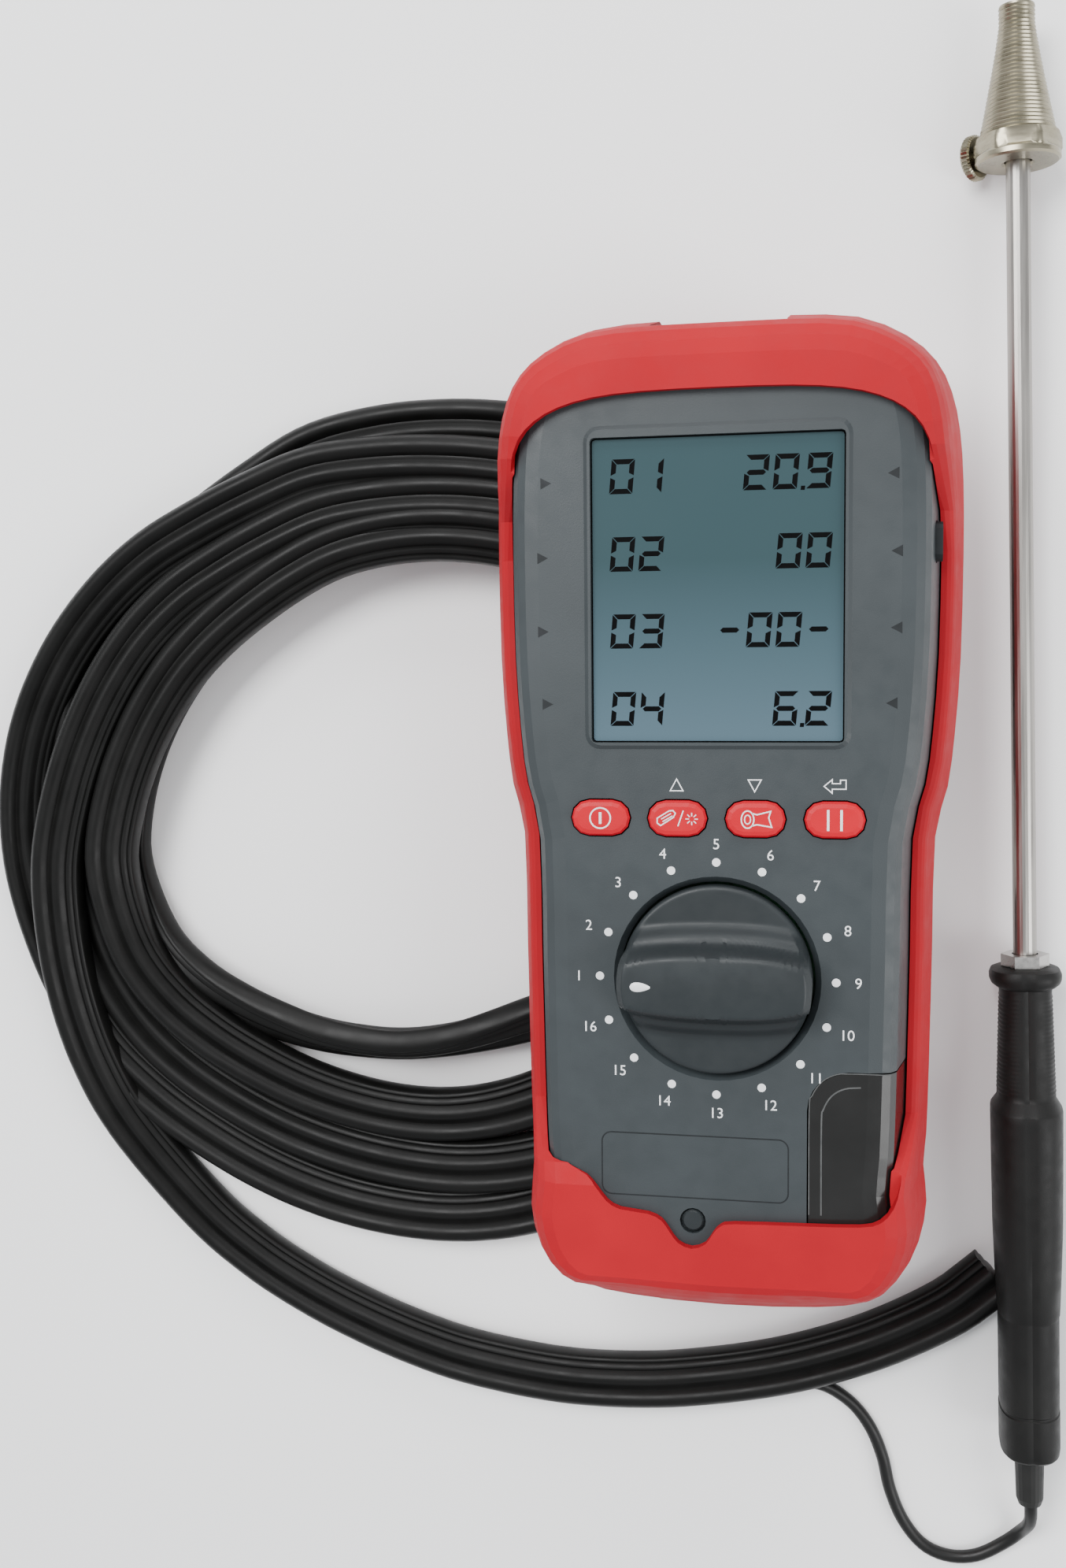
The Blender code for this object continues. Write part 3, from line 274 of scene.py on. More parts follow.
M_TUBE = brushed("drawn_steel", (0.30, 0.285, 0.265), (0.37, 0.355, 0.335), (0.30, 0.40), (1.0, 0.03, 1.0))
M_STEEL = brushed("turned_steel", (0.42, 0.41, 0.39), (0.50, 0.49, 0.47), (0.26, 0.36), (1.0, 1.0, 0.2))
M_NICKEL = brushed("nickel_plate", (0.25, 0.228, 0.165), (0.33, 0.302, 0.225), (0.26, 0.34), (0.2, 1.0, 0.2),
                   depth=0.000006)


def display_material():
    """Blue-grey display, lighter towards its lower edge."""
    material, tree, shader = shader_of("display_glass")
    low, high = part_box("lcd_lens")
    place = tree.nodes.new("ShaderNodeTexCoord").outputs["Object"]
    split = tree.nodes.new("ShaderNodeSeparateXYZ")
    tree.links.new(place, split.inputs[0])
    reach = tree.nodes.new("ShaderNodeMapRange")
    reach.inputs["From Min"].default_value = low.y
    reach.inputs["From Max"].default_value = high.y
    tree.links.new(split.outputs["Y"], reach.inputs["Value"])
    colour = ramp(tree, reach.outputs["Result"], ((0.066, 0.108, 0.135), (0.027, 0.053, 0.060)), 0.0, 0.6)
    tree.links.new(colour, shader.inputs["Base Color"])
    gloss = ramp(tree, noise(tree, 40.0), (0.10, 0.16))
    tree.links.new(gloss, shader.inputs["Roughness"])
    shader.inputs["Specular IOR Level"].default_value = 0.25
    return material


def smoky_material():
    material, tree, shader = shader_of("smoky_trap")
    tree.links.new(ramp(tree, noise(tree, 60.0), ((0.0095, 0.0095, 0.0090), (0.014, 0.014, 0.0135))),
                   shader.inputs["Base Color"])
    tree.links.new(ramp(tree, noise(tree, 200.0), (0.16, 0.22)), shader.inputs["Roughness"])
    shader.inputs["Transmission Weight"].default_value = 0.15
    shader.inputs["IOR"].default_value = 1.49
    shader.inputs["Specular IOR Level"].default_value = 0.3
    return material


M_DISPLAY = display_material()
M_SMOKY = smoky_material()


# ------------------------------------------------------------------ camera
def make_camera():
    data = bpy.data.cameras.new("camera")
    data.sensor_width = 36.0
    data.lens = 36.29
    data.clip_start = 0.01
    data.clip_end = 20.0
    camera = bpy.data.objects.new("camera", data)
    bpy.context.scene.collection.objects.link(camera)
    camera.location = MIDDLE + Vector((26.5, 38.3, 378.7)) * MM
    camera.rotation_euler = Euler([math.radians(a) for a in (-5.031, 11.34, -0.627)], "XYZ")
    bpy.context.scene.camera = camera


# ------------------------------------------------------------------ hose and cable
COIL_OUTER = [(-190.5, -5), (-187, 18), (-178, 37), (-164, 54.5), (-149, 67.5), (-121, 84),
              (-104, 92.5), (-88, 95.5), (-68, 96), (-40, 92), (-10, 80), (14, 60), (28, 34),
              (31, 5), (28, -28), (16, -62), (-8, -90), (-34, -105), (-57, -110), (-77, -110),
              (-94, -107), (-112, -102), (-129, -94), (-146, -84), (-163, -70), (-176, -52),
              (-186, -29)]
COIL_INNER = [(-149, -14), (-145, 6), (-137, 23), (-127, 36), (-112, 48.5), (-97.5, 56.7),
              (-84, 60.6), (-64, 61.5), (-40, 56), (-20, 44), (-8, 26), (-5, 4), (-9, -18),
              (-20, -33), (-36, -41), (-52, -45), (-68.6, -51), (-82, -54), (-98.8, -53.5),
              (-113.5, -50), (-128.4, -44), (-141, -34)]
COIL_MIDDLE = np.array([-78.0, -6.0])
TAIL = [(58.2, -111.4), (50.5, -118.0), (38.3, -125.2), (26.0, -130.8), (10.8, -136.0), (-6.0, -139.8),
        (-23.2, -142.2), (-43.5, -142.6), (-65.0, -140.0), (-80.0, -136.2), (-95.0, -130.8),
        (-109.0, -124.4), (-123.0, -116.2), (-137.0, -105.0)]
CABLE_FALL = [10.2, 10.2, 7.6, 3.2]
CABLE = [(68.82, -158.5), (68.9, -162.4), (69.0, -167.6), (67.6, -172.4), (63.5, -177.0),
         (57.4, -180.6), (51.0, -181.4), (45.0, -179.2), (40.2, -173.5), (37.0, -165.9),
         (35.2, -158.0), (32.4, -151.0), (28.2, -145.4), (22.5, -141.2), (17.0, -139.3)]

# Turns of the coil, clockwise from the left: every 45 degrees the share of the way from
# the inner to the outer outline, the height of the hose's middle, and its roll.
LOW, HIGH = HOSE_THICKNESS / 2, HOSE_THICKNESS * 1.5
TURNS = [
    # left, upper left, top, upper right, right, lower right, bottom, lower left
    [(0.50, HIGH, 0), (0.45, HIGH, 0), (0.33, HIGH, 0), (0.35, HIGH, 0),
     (0.35, HIGH, 0), (0.40, 9.0, 0), (0.42, 5.5, 8), (0.33, 9.0, 0)],
    [(0.16, HIGH, 0), (0.13, HIGH, 0), (0.12, HIGH, 0), (0.12, HIGH, 0),
     (0.12, HIGH, 0), (0.12, 8.7, 40), (0.09, 7.7, 74), (0.10, 6.6, 45)],
    [(0.18, LOW, 0), (0.20, LOW, 0), (0.24, LOW, 0), (0.30, LOW, 0),
     (0.50, LOW, 0), (0.75, LOW, 0), (0.88, LOW, 0), (0.89, LOW, 0)],
    [(0.84, LOW, 0), (0.80, 9.5, 0), (0.60, HIGH, 0), (0.60, HIGH, 0),
     (0.62, HIGH, 0), (0.65, 9.0, 0), (0.65, 4.5, 0), (0.62, LOW, 0)],
    [(0.50, LOW, 0), (0.77, LOW, 0), (0.86, LOW, 0), (0.87, LOW, 0)],
]
START = (1.12, 5.0, 0)            # where the loose end comes alongside, at the lower left
EXIT = [(24.0, 50.0, LOW), (33.5, 32.0, 4.8), (37.2, 18.0, 5.6), (37.5, 6.2, 5.6)]


def radius_at(outline, angle):
    curve = catmull(outline, 6, closed=True) - COIL_MIDDLE
    angles = np.arctan2(curve[:, 1], curve[:, 0])
    order = np.argsort(angles)
    return np.interp(angle, angles[order], np.hypot(*curve[order].T), period=2 * math.pi)


def hose_route():
    """Rows of x, y, z, roll along the hose, from the handle to its connector."""
    stations = [START] + [station for turn in TURNS for station in turn]
    fine = catmull(stations, 9)
    angles = np.radians(225.0 - 5.0 * np.arange(len(fine)))
    angles = np.arctan2(np.sin(angles), np.cos(angles))
    inner, outer = radius_at(COIL_INNER, angles), radius_at(COIL_OUTER, angles)
    reach = inner + fine[:, 0] * (outer - inner)
    coil = np.stack([COIL_MIDDLE[0] + reach * np.cos(angles), COIL_MIDDLE[1] + reach * np.sin(angles),
                     fine[:, 1], fine[:, 2]], axis=1)[::2]
    tail = [(x, y, LOW, 0) for x, y in TAIL]
    exit_run = [(*p, 0) for p in EXIT]
    return resample(catmull(np.array(tail + list(coil) + exit_run), 6), HOSE_SPACING)


def hose_section():
    """Twin-lobe section: a wide round lobe, a second one and two fine ribs."""
    lobes = [(-3.95, 2.85, 4.0), (1.0, 2.45, 3.75), (4.15, 1.0, 3.1), (5.75, 1.05, 2.7)]
    reads = [-HOSE_WIDTH / 2 + HOSE_WIDTH * (1 - math.cos(math.pi * i / 26)) / 2 for i in range(1, 26)]
    crest = []
    for x in reads:
        rise = max(top * math.sqrt(max(0.0, 1 - ((x - middle) / reach) ** 2)) for middle, reach, top in lobes)
        web = 2.3 * math.sqrt(max(0.0, 1 - (2 * x / HOSE_WIDTH) ** 8))
        crest.append(max(rise, web))
    ends = [[(-HOSE_WIDTH / 2, 0.0)], [(HOSE_WIDTH / 2, 0.0)]]
    return ends[0] + list(zip(reads, crest)) + ends[1] + [(x, -y) for x, y in list(zip(reads, crest))[::-1]]


def sweep(name, rows, section, material):
    """Carry a section along a path; up stays vertical, turned by each row's roll."""
    places = rows[:, :3]
    tangents = np.gradient(places, axis=0)
    rings = []
    for place, tangent, roll in zip(places, tangents, rows[:, 3]):
        forward = Vector(tangent).normalized()
        side = forward.cross(Vector((0, 0, 1))).normalized()
        up = side.cross(forward)
        turn = math.radians(roll)
        across = side * math.cos(turn) + up * math.sin(turn)
        rise = up * math.cos(turn) - side * math.sin(turn)
        rings.append([tuple(Vector(place) + across * x + rise * y) for x, y in section])
    points, faces = skin(rings)
    return piece(name, points, faces, material, smooth=50)


def make_hose():
    rows = hose_route()
    inside = rows[0].copy()
    inside[:3] += (rows[0, :3] - rows[1, :3]) / np.linalg.norm(rows[0, :3] - rows[1, :3]) * 3.0
    rows = np.vstack([inside, rows])
    hose = sweep("twin_hose", rows, hose_section(), M_HOSE)
    length = float(np.linalg.norm(np.diff(rows[:, :3], axis=0), axis=1).sum()) * MM
    print("hose length", round(length, 3))
    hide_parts("hose_coil", "hose_tail")


def make_cable():
    curve = bpy.data.curves.new("thin_cable", "CURVE")
    curve.dimensions = "3D"
    curve.bevel_depth = CABLE_DIAMETER / 2 * MM
    curve.bevel_resolution = 4
    curve.use_fill_caps = True
    height = CABLE_DIAMETER / 2 + 0.02
    levels = CABLE_FALL + [height] * (len(CABLE) - len(CABLE_FALL) - 2) + [2.4, 3.6]
    rows = resample(catmull([(x, y, z) for (x, y), z in zip(CABLE, levels)], 8), CABLE_SPACING)
    spline = curve.splines.new("POLY")
    spline.points.add(len(rows) - 1)
    for point, row in zip(spline.points, rows):
        point.co = (*(METER @ (Vector(row) * MM)), 1.0)
    cable = bpy.data.objects.new("thin_cable", curve)
    bpy.context.scene.collection.objects.link(cable)
    curve.materials.append(M_CABLE)
    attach(cable, ROOT)
    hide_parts("thermocouple_cable")
    print("cable length", round(float(np.linalg.norm(np.diff(rows, axis=0), axis=1).sum()) * MM, 3))


# ------------------------------------------------------------------ CAD nodes that stay
NODE_MATERIALS = {
    "rubber_boot": M_BOOT, "front_shell": M_SHELL, "rear_shell": M_REAR, "battery_door": M_REAR,
    "case_seal": M_GLAND, "lcd_lens": M_DISPLAY, "lcd_module": M_REAR, "circuit_board": M_BOARD,
    "selector_knob": M_KNOB, "knob_pointer": M_MARK, "water_trap": M_SMOKY, "ir_window": M_SMOKY,
    "drain_plug": M_GLAND, "particle_filter": M_WHITE, "gas_inlet": M_BRASS, "pressure_port_1": M_BRASS,
    "pressure_port_2": M_BRASS, "thermocouple_socket": M_REAR, "oxygen_sensor": M_WHITE,
    "carbon_monoxide_sensor": M_STEEL, "sample_pump": M_REAR, "rotary_switch": M_REAR,
    "probe_tube": M_TUBE, "thermocouple_tip": M_STEEL, "handle_nut": M_STEEL, "depth_cone": M_NICKEL,
    "thumbscrew": M_NICKEL, "handle_left": M_HANDLE, "handle_right": M_HANDLE, "cable_gland": M_GLAND,
    "hose_barb": M_BRASS, "hose_connector": M_STEEL, "front_screw": M_KNOB, "charge_socket": M_RECESS,
}
FAMILIES = {"button": M_KEY, "tact_switch": M_REAR, "battery_cell": M_REAR, "rear_screw": M_STEEL}


def finish_nodes():
    for name, node in frame["nodes"].items():
        material = NODE_MATERIALS.get(name)
        for start, shared in FAMILIES.items():
            if not material and name.startswith(start):
                material = shared
        if not material:
            continue
        for slot in node.material_slots:
            slot.material = material


# ------------------------------------------------------------------ selector
def knob_height(x, y):
    """Height above the face: a soft-edged grip bar over a dished disc."""
    along = (x + 1.0) / KNOB_RADIUS
    half = BAR_HALF - 1.9 * abs(along) ** 3 - (0.5 * max(0.0, -along))
    away = abs(y) - half
    radius = math.hypot(x, y)
    edge = min(1.0, max(0.0, (KNOB_RADIUS - radius) / 1.2))
    disc = KNOB_RIM - 0.9 * (1 - math.sqrt(edge * (2 - edge)))
    slope = max(0.0, 1 - max(0.0, away - 2.3) / 3.2)
    shoulder = KNOB_RIM + 2.6 * slope * slope * (3 - 2 * slope)
    wall = min(1.0, max(0.0, (away + 0.5) / 2.6))
    wall = wall * wall * (3 - 2 * wall)
    crown = KNOB_TOP - 0.012 * y * y - 0.35 * max(0.0, (radius - 17.2) / 2.2) ** 2
    body = crown + (shoulder - crown) * wall
    fall = min(1.0, max(0.0, (radius - 18.2) / 1.2))
    return max(disc, body * (1 - 0.12 * fall) if away < 1.0 else body * (1 - fall) + disc * fall)


def make_selector():
    place = Matrix.Translation(DIAL)
    rings = []
    radii = [KNOB_RADIUS * math.sin(math.pi / 2 * i / 44) for i in range(1, 45)]
    for radius in radii:
        ring = []
        for i in range(144):
            angle = 2 * math.pi * i / 144
            x, y = radius * math.cos(angle), radius * math.sin(angle)
            ring.append((x, y, knob_height(x, y)))
        rings.append(ring)
    rings.append([(x, y, -1.2) for x, y, z in rings[-1]])
    points, faces = skin(rings)
    knob = piece("grip_knob", points, faces, M_KNOB, "selector", place, 42)
    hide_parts("selector_knob")
    mark = []
    for i in range(28):
        angle = 2 * math.pi * i / 28
        x = 2.05 * math.cos(angle)
        mark.append((x + POINTER_X, (0.92 - 0.16 * x) * math.sin(angle)))
    rings = [[(POINTER_X + (x - POINTER_X) * grow, y * grow, z + 0.3 * (1 - grow)) for x, y in mark]
             for grow, z in ((1.0, KNOB_TOP - 0.5), (1.0, KNOB_TOP + 0.0), (0.86, KNOB_TOP + 0.1),
                             (0.5, KNOB_TOP + 0.1))]
    points, faces = skin(rings)
    pointer = piece("pointer_inlay", points, faces, M_MARK, "selector", place)
    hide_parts("knob_pointer")


# ------------------------------------------------------------------ probe
def hex_reach(corner, turn):
    flat = corner * math.cos(math.pi / 6)
    return lambda angle: flat / math.cos((angle - turn) % (math.pi / 3) - math.pi / 6)


def make_cone():
    tip, base = CONE_TIP, CONE_BASE
    profile = [(2.95, tip), (3.75, tip), (3.8, tip - 0.5)]
    for i in range(CONE_RINGS * 4):
        share = i / (CONE_RINGS * 4)
        y = tip - 0.5 - (tip - 0.5 - base) * share
        swell = max(0.0, (share - 0.12) / 0.88) ** 1.15
        groove = 0.5 + 0.5 * math.cos(2 * math.pi * share * CONE_RINGS)
        profile.append((3.85 + 4.35 * swell - RING_DEPTH * (1 - groove), y))
    first = len(profile)
    profile += [(8.2, base + 0.05), (8.75, base - 0.1), (FLANGE_CORNER, base - 1.3),
                (FLANGE_CORNER, base - 3.4), (8.95, base - 4.0), (9.05, base - 4.15),
                (9.05, base - 5.2), (8.5, base - 5.6), (3.5, base - 5.6), (2.95, base - 5.2)]
    flange = hex_reach(FLANGE_CORNER, math.radians(30 + 35))
    limit = range(first + 2, first + 4)
    cone = turned("ringed_cone", profile, M_NICKEL, "cone", PROBE, 96,
                  lambda angle, index: flange(angle) if index in limit else 99.0, 30)
    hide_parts("depth_cone")


def make_thumbscrew():
    joint = JOINTS["thumbscrew_turn"]
    out = Vector(joint["axis"])
    place = Matrix.Translation(Vector(joint["pos_m"])) @ out.to_track_quat("Y", "Z").to_matrix().to_4x4()
    profile = [(0.4, 3.2), (1.5, 3.3), (1.5, 9.3), (2.1, 9.4), (4.3, 9.4), (4.9, 9.75), (4.9, 11.2),
               (4.4, 11.6), (0.4, 11.6)]
    rim = range(5, 7)
    screw = turned("knurled_screw", profile[::-1], M_NICKEL, "cone_screw", place, 144,
                   lambda angle, index: 4.9 - 0.14 * (1 + math.cos(36 * angle))
                   if len(profile) - 1 - index in rim else 99.0, 25)
    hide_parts("thumbscrew")


def handle_ring(width, depth, y, sides=72):
    """Rounded section with a fine groove at the parting line."""
    ring = []
    for i in range(sides):
        angle = 2 * math.pi * i / sides
        c, q = math.cos(angle), math.sin(angle)
        x = width * math.copysign(abs(c) ** 0.78, c)
        z = depth * math.copysign(abs(q) ** 0.78, q)
        if abs(c) < 0.01:
            z -= math.copysign(0.35, z)
        ring.append((x, y, z))
    return ring


def make_grip():
    wide, deep = GRIP_HALF
    coarse = [(-1.6, 0.62, 0.50), (-1.7, 0.80, 0.62), (-2.2, 0.95, 0.72), (-3.2, 1.0, 0.76),
              (-4.3, 0.995, 0.76), (-5.2, 0.95, 0.735), (-5.9, 0.84, 0.70), (-6.3, 0.74, 0.64),
              (-7.4, 0.725, 0.64)]
    fine = []
    for i in range(23 * 4 + 1):
        y = -8.0 - 22.5 * i / 92
        lean = (-8.0 - y) / 22.5
        tooth = 0.011 * math.sin(2 * math.pi * i / 4)
        fine.append((y, 0.73 + 0.085 * lean + tooth, 0.645 + 0.06 * lean))
    rest = [(-31.2, 0.815, 0.71), (-31.8, 0.83, 0.74), (-33.8, 0.985, 0.965), (-34.4, 1.0, 0.985),
            (-36.0, 1.0, 0.99), (-48.0, 0.99, 0.99), (-62.0, 0.97, 0.985), (-72.0, 0.925, 0.965),
            (-81.4, 0.872, 0.945), (-81.8, 0.855, 0.93), (-82.2, 0.852, 0.93), (-103.8, 0.845, 0.925),
            (-104.0, 0.825, 0.91), (-104.5, 0.825, 0.91), (-104.7, 0.855, 0.935), (-113.2, 0.855, 0.935),
            (-114.4, 0.835, 0.915), (-115.0, 0.77, 0.86)]
    rings = [handle_ring(wide * w, deep * d, y) for y, w, d in coarse + fine + rest]
    points, faces = skin([ring[::-1] for ring in rings][::-1])
    grip = piece("moulded_grip", points, faces, M_HANDLE, ROOT, PROBE, 32)
    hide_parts("handle_left", "handle_right")


# ------------------------------------------------------------------ print and display
def ribbon(line, width, z, closed=False):
    """Flat mitred stroke along a polyline; returns points and faces."""
    line = [np.array(p, float) for p in line]
    count = len(line)
    points = []
    for i, point in enumerate(line):
        before = line[i - 1] if closed or i else 2 * point - line[i + 1]
        after = line[(i + 1) % count] if closed or i < count - 1 else 2 * point - line[i - 1]
        into = (point - before) / np.linalg.norm(point - before)
        out = (after - point) / np.linalg.norm(after - point)
        tangent = (into + out) / max(1e-6, np.linalg.norm(into + out))
        across = np.array([-tangent[1], tangent[0]]) * width / 2 / max(0.4, float(tangent @ out))
        points += [(*(point + across), z), (*(point - across), z)]
    faces = [(2 * i, 2 * i + 1, (2 * i + 3) % (2 * count), (2 * i + 2) % (2 * count))
             for i in range(count if closed else count - 1)]
    return points, faces


def filled(outline, z):
    return [(x, y, z) for x, y in outline], [tuple(range(len(outline)))]


def circle(x, y, radius, sides=24, start=0.0, turn=2 * math.pi):
    return [(x + radius * math.cos(start + turn * i / sides), y + radius * math.sin(start + turn * i / sides))
            for i in range(sides)]


def merged(shapes):
    points, faces = [], []
    for more, new in shapes:
        faces += [tuple(i + len(points) for i in face) for face in new]
        points += more
    return points, faces


def raised(name, shapes, material, thickness=0.06, body=ROOT, place=METER):
    """Print or inlay with a little thickness."""
    points, faces = merged(shapes)
    made = piece(name, points, faces, material, body, place)
    made.data.shade_flat()
    solid = made.modifiers.new("thickness", "SOLIDIFY")
    solid.thickness = thickness * MM
    solid.offset = 1.0
    return made


def numeral(text, x, y, height, z):
    """A number set from the built-in typeface, centred on x, y."""
    font = bpy.data.curves.new("numeral", "FONT")
    font.body = text
    font.size = height / 0.72
    font.align_x = "CENTER"
    font.resolution_u = 4
    made = bpy.data.objects.new("numeral", font)
    bpy.context.scene.collection.objects.link(made)
    bpy.context.view_layer.update()
    mesh = bpy.data.meshes.new_from_object(made.evaluated_get(bpy.context.evaluated_depsgraph_get()))
    points = [(v.co.x + x, v.co.y + y - height / 2, z) for v in mesh.vertices]
    faces = [tuple(f.vertices) for f in mesh.polygons]
    bpy.data.objects.remove(made, do_unlink=True)
    return points, faces


def make_print():
    z = FACE + PRINT_LIFT
    shapes = []
    for i in range(MARKS):
        angle = math.pi - 2 * math.pi * i / MARKS
        x, y = math.cos(angle), math.sin(angle)
        shapes.append(filled(circle(MARK_RADIUS * x, DIAL_Y + MARK_RADIUS * y, MARK_SIZE), z))
        shapes.append(numeral(str(i + 1), NUMBER_REACH[0] * x, DIAL_Y + NUMBER_REACH[1] * y,
                              NUMBER_HEIGHT, z))
    y = 10.3
    shapes.append(ribbon([(-9.3, y - 1.1), (-6.7, y - 1.1), (-8.0, y + 1.3)], 0.22, z, True))
    shapes.append(ribbon([(6.4, y + 1.2), (9.0, y + 1.2), (7.7, y - 1.2)], 0.22, z, True))
    arrow = [(21.4, 0.0), (23.0, 1.35), (23.0, 0.55), (24.6, 0.55), (24.6, 1.25), (25.7, 1.25),
             (25.7, -0.55), (23.0, -0.55), (23.0, -1.35)]
    shapes.append(ribbon([(px, y + py) for px, py in arrow], 0.22, z, True))
    raised("face_print", shapes, M_PRINT)

    left, right, top, low, corner = -23.8, 14.6, -62.2, -75.4, 2.0
    outline = []
    for cx, cy, start in ((right - corner, top - corner, 0), (left + corner, top - corner, 90),
                          (left + corner, low + corner, 180), (right - corner, low + corner, 270)):
        outline += [(cx + corner * math.cos(math.radians(start + 15 * k)),
                     cy + corner * math.sin(math.radians(start + 15 * k))) for k in range(7)]
    raised("label_line", [ribbon(outline, 0.28, z - 0.01, True)], M_RECESS, 0.02)

    arrows = []
    for y, x in ((71.5, 34.4), (56.5, 35.2), (41.6, 35.2), (26.8, 34.4)):
        for side in (-1, 1):
            arrows.append(filled([(side * (x - 1.1), y), (side * (x + 1.1), y + 1.15 * side),
                                  (side * (x + 1.1), y - 1.15 * side)], z))
    raised("side_arrows", arrows, M_RECESS, 0.02)


def make_key_marks():
    rise = FACE + KEY_RISE + PRINT_LIFT
    y = KEY_Y
    bar = lambda x0, x1, y0, y1: filled([(x0, y0), (x1, y0), (x1, y1), (x0, y1)], rise)
    x = -1.5 * KEY_PITCH
    raised("power_mark", [ribbon(circle(x, y, 2.1, 32), 0.3, rise, True),
                          bar(x - 0.27, x + 0.27, y - 1.2, y + 1.2)], M_PRINT, body="power_key")
    x = -0.5 * KEY_PITCH
    rays = [ribbon([(x + 3.0 + 0.55 * math.cos(a), y + 0.55 * math.sin(a)),
                    (x + 3.0 + 1.25 * math.cos(a), y + 1.25 * math.sin(a))], 0.2, rise)
            for a in (math.radians(45 * k) for k in range(8))]
    body = [(-4.0, -0.9), (-3.3, -1.4), (-0.7, 0.3), (-0.3, 1.1), (-0.8, 1.7), (-1.6, 1.6), (-4.0, 0.1)]
    raised("pump_mark", rays + [ribbon([(x + px, y + py) for px, py in body], 0.24, rise, True),
                                ribbon([(x - 3.2, y - 0.1), (x - 1.2, y + 1.1)], 0.22, rise),
                                ribbon([(x - 2.9, y - 0.6), (x - 0.9, y + 0.6)], 0.22, rise),
                                ribbon([(x + 0.2, y - 1.5), (x + 1.3, y + 1.7)], 0.24, rise)],
           M_PRINT, body="pump_key")
    x = 0.5 * KEY_PITCH
    oval = [(x - 1.5 + 1.25 * math.cos(a), y + 1.75 * math.sin(a)) for a in
            (2 * math.pi * k / 24 for k in range(24))]
    eye = [(x - 1.5 + 0.6 * math.cos(a), y + 0.9 * math.sin(a)) for a in
           (2 * math.pi * k / 16 for k in range(16))]
    horn = [(x - 0.6, y + 1.25), (x + 0.4, y + 1.0), (x + 3.1, y + 1.7), (x + 2.7, y + 0.4),
            (x + 3.3, y - 1.5), (x + 0.4, y - 1.0), (x - 0.6, y - 1.25)]
    raised("torch_mark", [ribbon(oval, 0.26, rise, True), ribbon(eye, 0.24, rise, True),
                          ribbon(horn, 0.26, rise)], M_PRINT, body="torch_key")
    x = 1.5 * KEY_PITCH
    raised("hold_mark", [bar(x - 1.55, x - 1.05, y - 2.1, y + 2.1),
                         bar(x + 1.05, x + 1.55, y - 2.1, y + 2.1)], M_PRINT, body="hold_key")


SEGMENTS = {"0": "abcdef", "1": "bc", "2": "abdeg", "3": "abcdg", "4": "bcfg", "6": "acdefg",
            "9": "abcdfg", "-": "g"}
ROWS = [(72.5, "01", "20.9"), (57.0, "02", "00"), (41.5, "03", "-00-"), (25.8, "04", "6.2")]
DIGIT_PITCH = 5.85
FIRST_DIGIT, LAST_DIGIT = -18.9, 20.2


def digit(mark, x, y):
    """Seven slanted bars, mitred at the corners; x, y is the middle."""
    half_w, half_h, thick, gap = 2.35, 3.45, 1.0, 0.11
    corners = {"a": ((-1, 1), (1, 1)), "b": ((1, 0), (1, 1)), "c": ((1, -1), (1, 0)),
               "d": ((-1, -1), (1, -1)), "e": ((-1, -1), (-1, 0)), "f": ((-1, 0), (-1, 1)),
               "g": ((-1, 0), (1, 0))}
    shapes = []
    for name in SEGMENTS[mark]:
        ends = [np.array([ax * half_w, ay * half_h]) for ax, ay in corners[name]]
        along = (ends[1] - ends[0]) / np.linalg.norm(ends[1] - ends[0])
        inward = np.array([0.0, -np.sign(ends[0][1])]) if along[0] else np.array([-np.sign(ends[0][0]), 0.0])
        if name == "g":
            up = np.array([0.0, thick / 2])
            tips = [ends[0] + along * 0.45, ends[1] - along * 0.45]
            body = [ends[0] + along * 0.95, ends[1] - along * 0.95]
            bar = [tips[0], body[0] + up, body[1] + up, tips[1], body[1] - up, body[0] - up]
        else:
            steps = [(gap, thick) if end[1] else (gap + 0.1, thick / 2) for end in ends]
            bar = [ends[0] + along * steps[0][0], ends[1] - along * steps[1][0],
                   ends[1] - along * (steps[1][0] + steps[1][1]) + inward * thick,
                   ends[0] + along * (steps[0][0] + steps[0][1]) + inward * thick]
        shapes.append(filled([(x + p[0] + 0.09 * p[1], y + p[1]) for p in bar], 0.0))
    return shapes


def make_display():
    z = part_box("lcd_lens")[1].z / MM + PRINT_LIFT
    point = [(2.2, -3.7), (3.0, -3.7), (3.1, -2.9), (2.3, -2.9)]
    shapes = []
    for y, channel, value in ROWS:
        for k, mark in enumerate(channel):
            shapes += digit(mark, FIRST_DIGIT + DIGIT_PITCH * k, y)
        x = LAST_DIGIT
        for mark in reversed(value):
            if mark == ".":
                shapes.append(filled([(x + px, y + py) for px, py in point], 0.0))
                x -= 0.6
                continue
            shapes += digit(mark, x, y)
            x -= DIGIT_PITCH
    shapes = [([(px, py, z) for px, py, pz in points], faces) for points, faces in shapes]
    raised("display_digits", shapes, M_INK, 0.02)
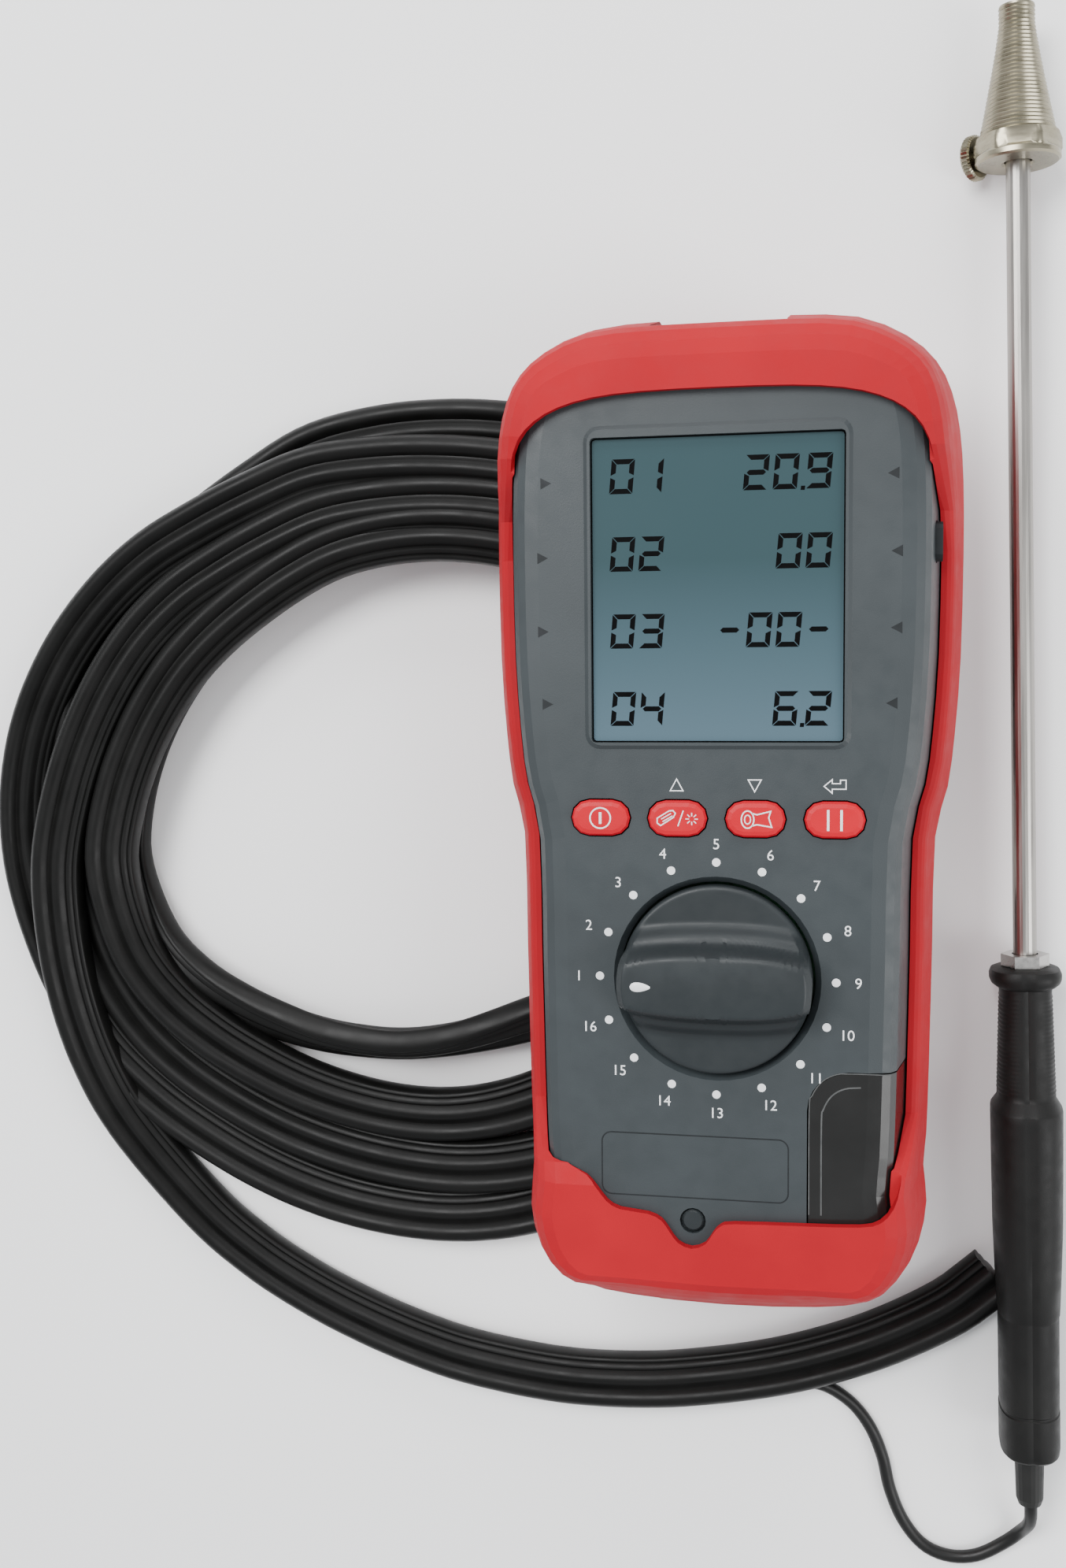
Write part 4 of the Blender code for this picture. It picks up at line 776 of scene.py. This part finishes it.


# Painted highlight: flat light grey lines on the water trap's rim and inner edge stand in for the glints
# there.
def make_trap_highlights():
    z = FACE + PRINT_LIFT
    inner = [(21.2, -77.5), (21.2, -58.5), (21.6, -55.4), (23.2, -52.6), (25.8, -51.0), (29.0, -50.6)]
    rim = [(18.75, -77.5), (18.75, -56.0), (19.35, -52.6), (21.4, -49.6), (24.2, -48.1), (27.0, -47.85),
           (35.0, -47.8)]
    raised("painted_trap_highlights", [ribbon(catmull(inner, 4), 0.3, z), ribbon(catmull(rim, 4), 0.22, z)], M_TRAP_HIGHLIGHT, 0.02)


# ------------------------------------------------------------------ floor and light
def make_stage():
    material, tree, shader = shader_of("pale_floor")
    tree.links.new(ramp(tree, noise(tree, 3.0), ((0.90, 0.90, 0.90), (0.92, 0.92, 0.92))),
                   shader.inputs["Base Color"])
    shader.inputs["Roughness"].default_value = 0.9
    mesh = bpy.data.meshes.new("floor")
    size = 3.0
    corners = [(-size, -size, 0), (size, -size, 0), (size, size, 0), (-size, size, 0)]
    mesh.from_pydata(corners, [], [(0, 1, 2, 3)])
    floor = bpy.data.objects.new("floor", mesh)
    bpy.context.scene.collection.objects.link(floor)
    mesh.materials.append(material)


def area_light(name, place, aim, size, power, colour=(1, 1, 1)):
    data = bpy.data.lights.new(name, "AREA")
    data.shape = "RECTANGLE"
    data.size, data.size_y = size
    data.energy = power
    data.color = colour
    light = bpy.data.objects.new(name, data)
    bpy.context.scene.collection.objects.link(light)
    light.location = place
    light.rotation_euler = (Vector(aim) - Vector(place)).to_track_quat("-Z", "Y").to_euler()


def make_lights():
    world = bpy.data.worlds.new("studio")
    bpy.context.scene.world = world
    world.use_nodes = True
    background = world.node_tree.nodes["Background"]
    background.inputs["Color"].default_value = (0.95, 0.97, 1.0, 1.0)
    background.inputs["Strength"].default_value = 0.86
    area_light("key", (-0.5, 0.6, 1.2), (0, 0, 0), (0.9, 0.6), 26.0)
    area_light("fill", (0.95, -0.3, 0.8), (0, 0, 0), (0.5, 0.9), 11.0)
    area_light("rim", (0.1, 1.2, 0.6), (0, 0, 0), (1.2, 0.35), 8.0)


def main():
    make_camera()
    make_hose()
    make_cable()
    finish_nodes()
    make_selector()
    make_cone()
    make_thumbscrew()
    make_grip()
    make_print()
    make_key_marks()
    make_display()
    make_trap_highlights()
    make_stage()
    make_lights()


main()
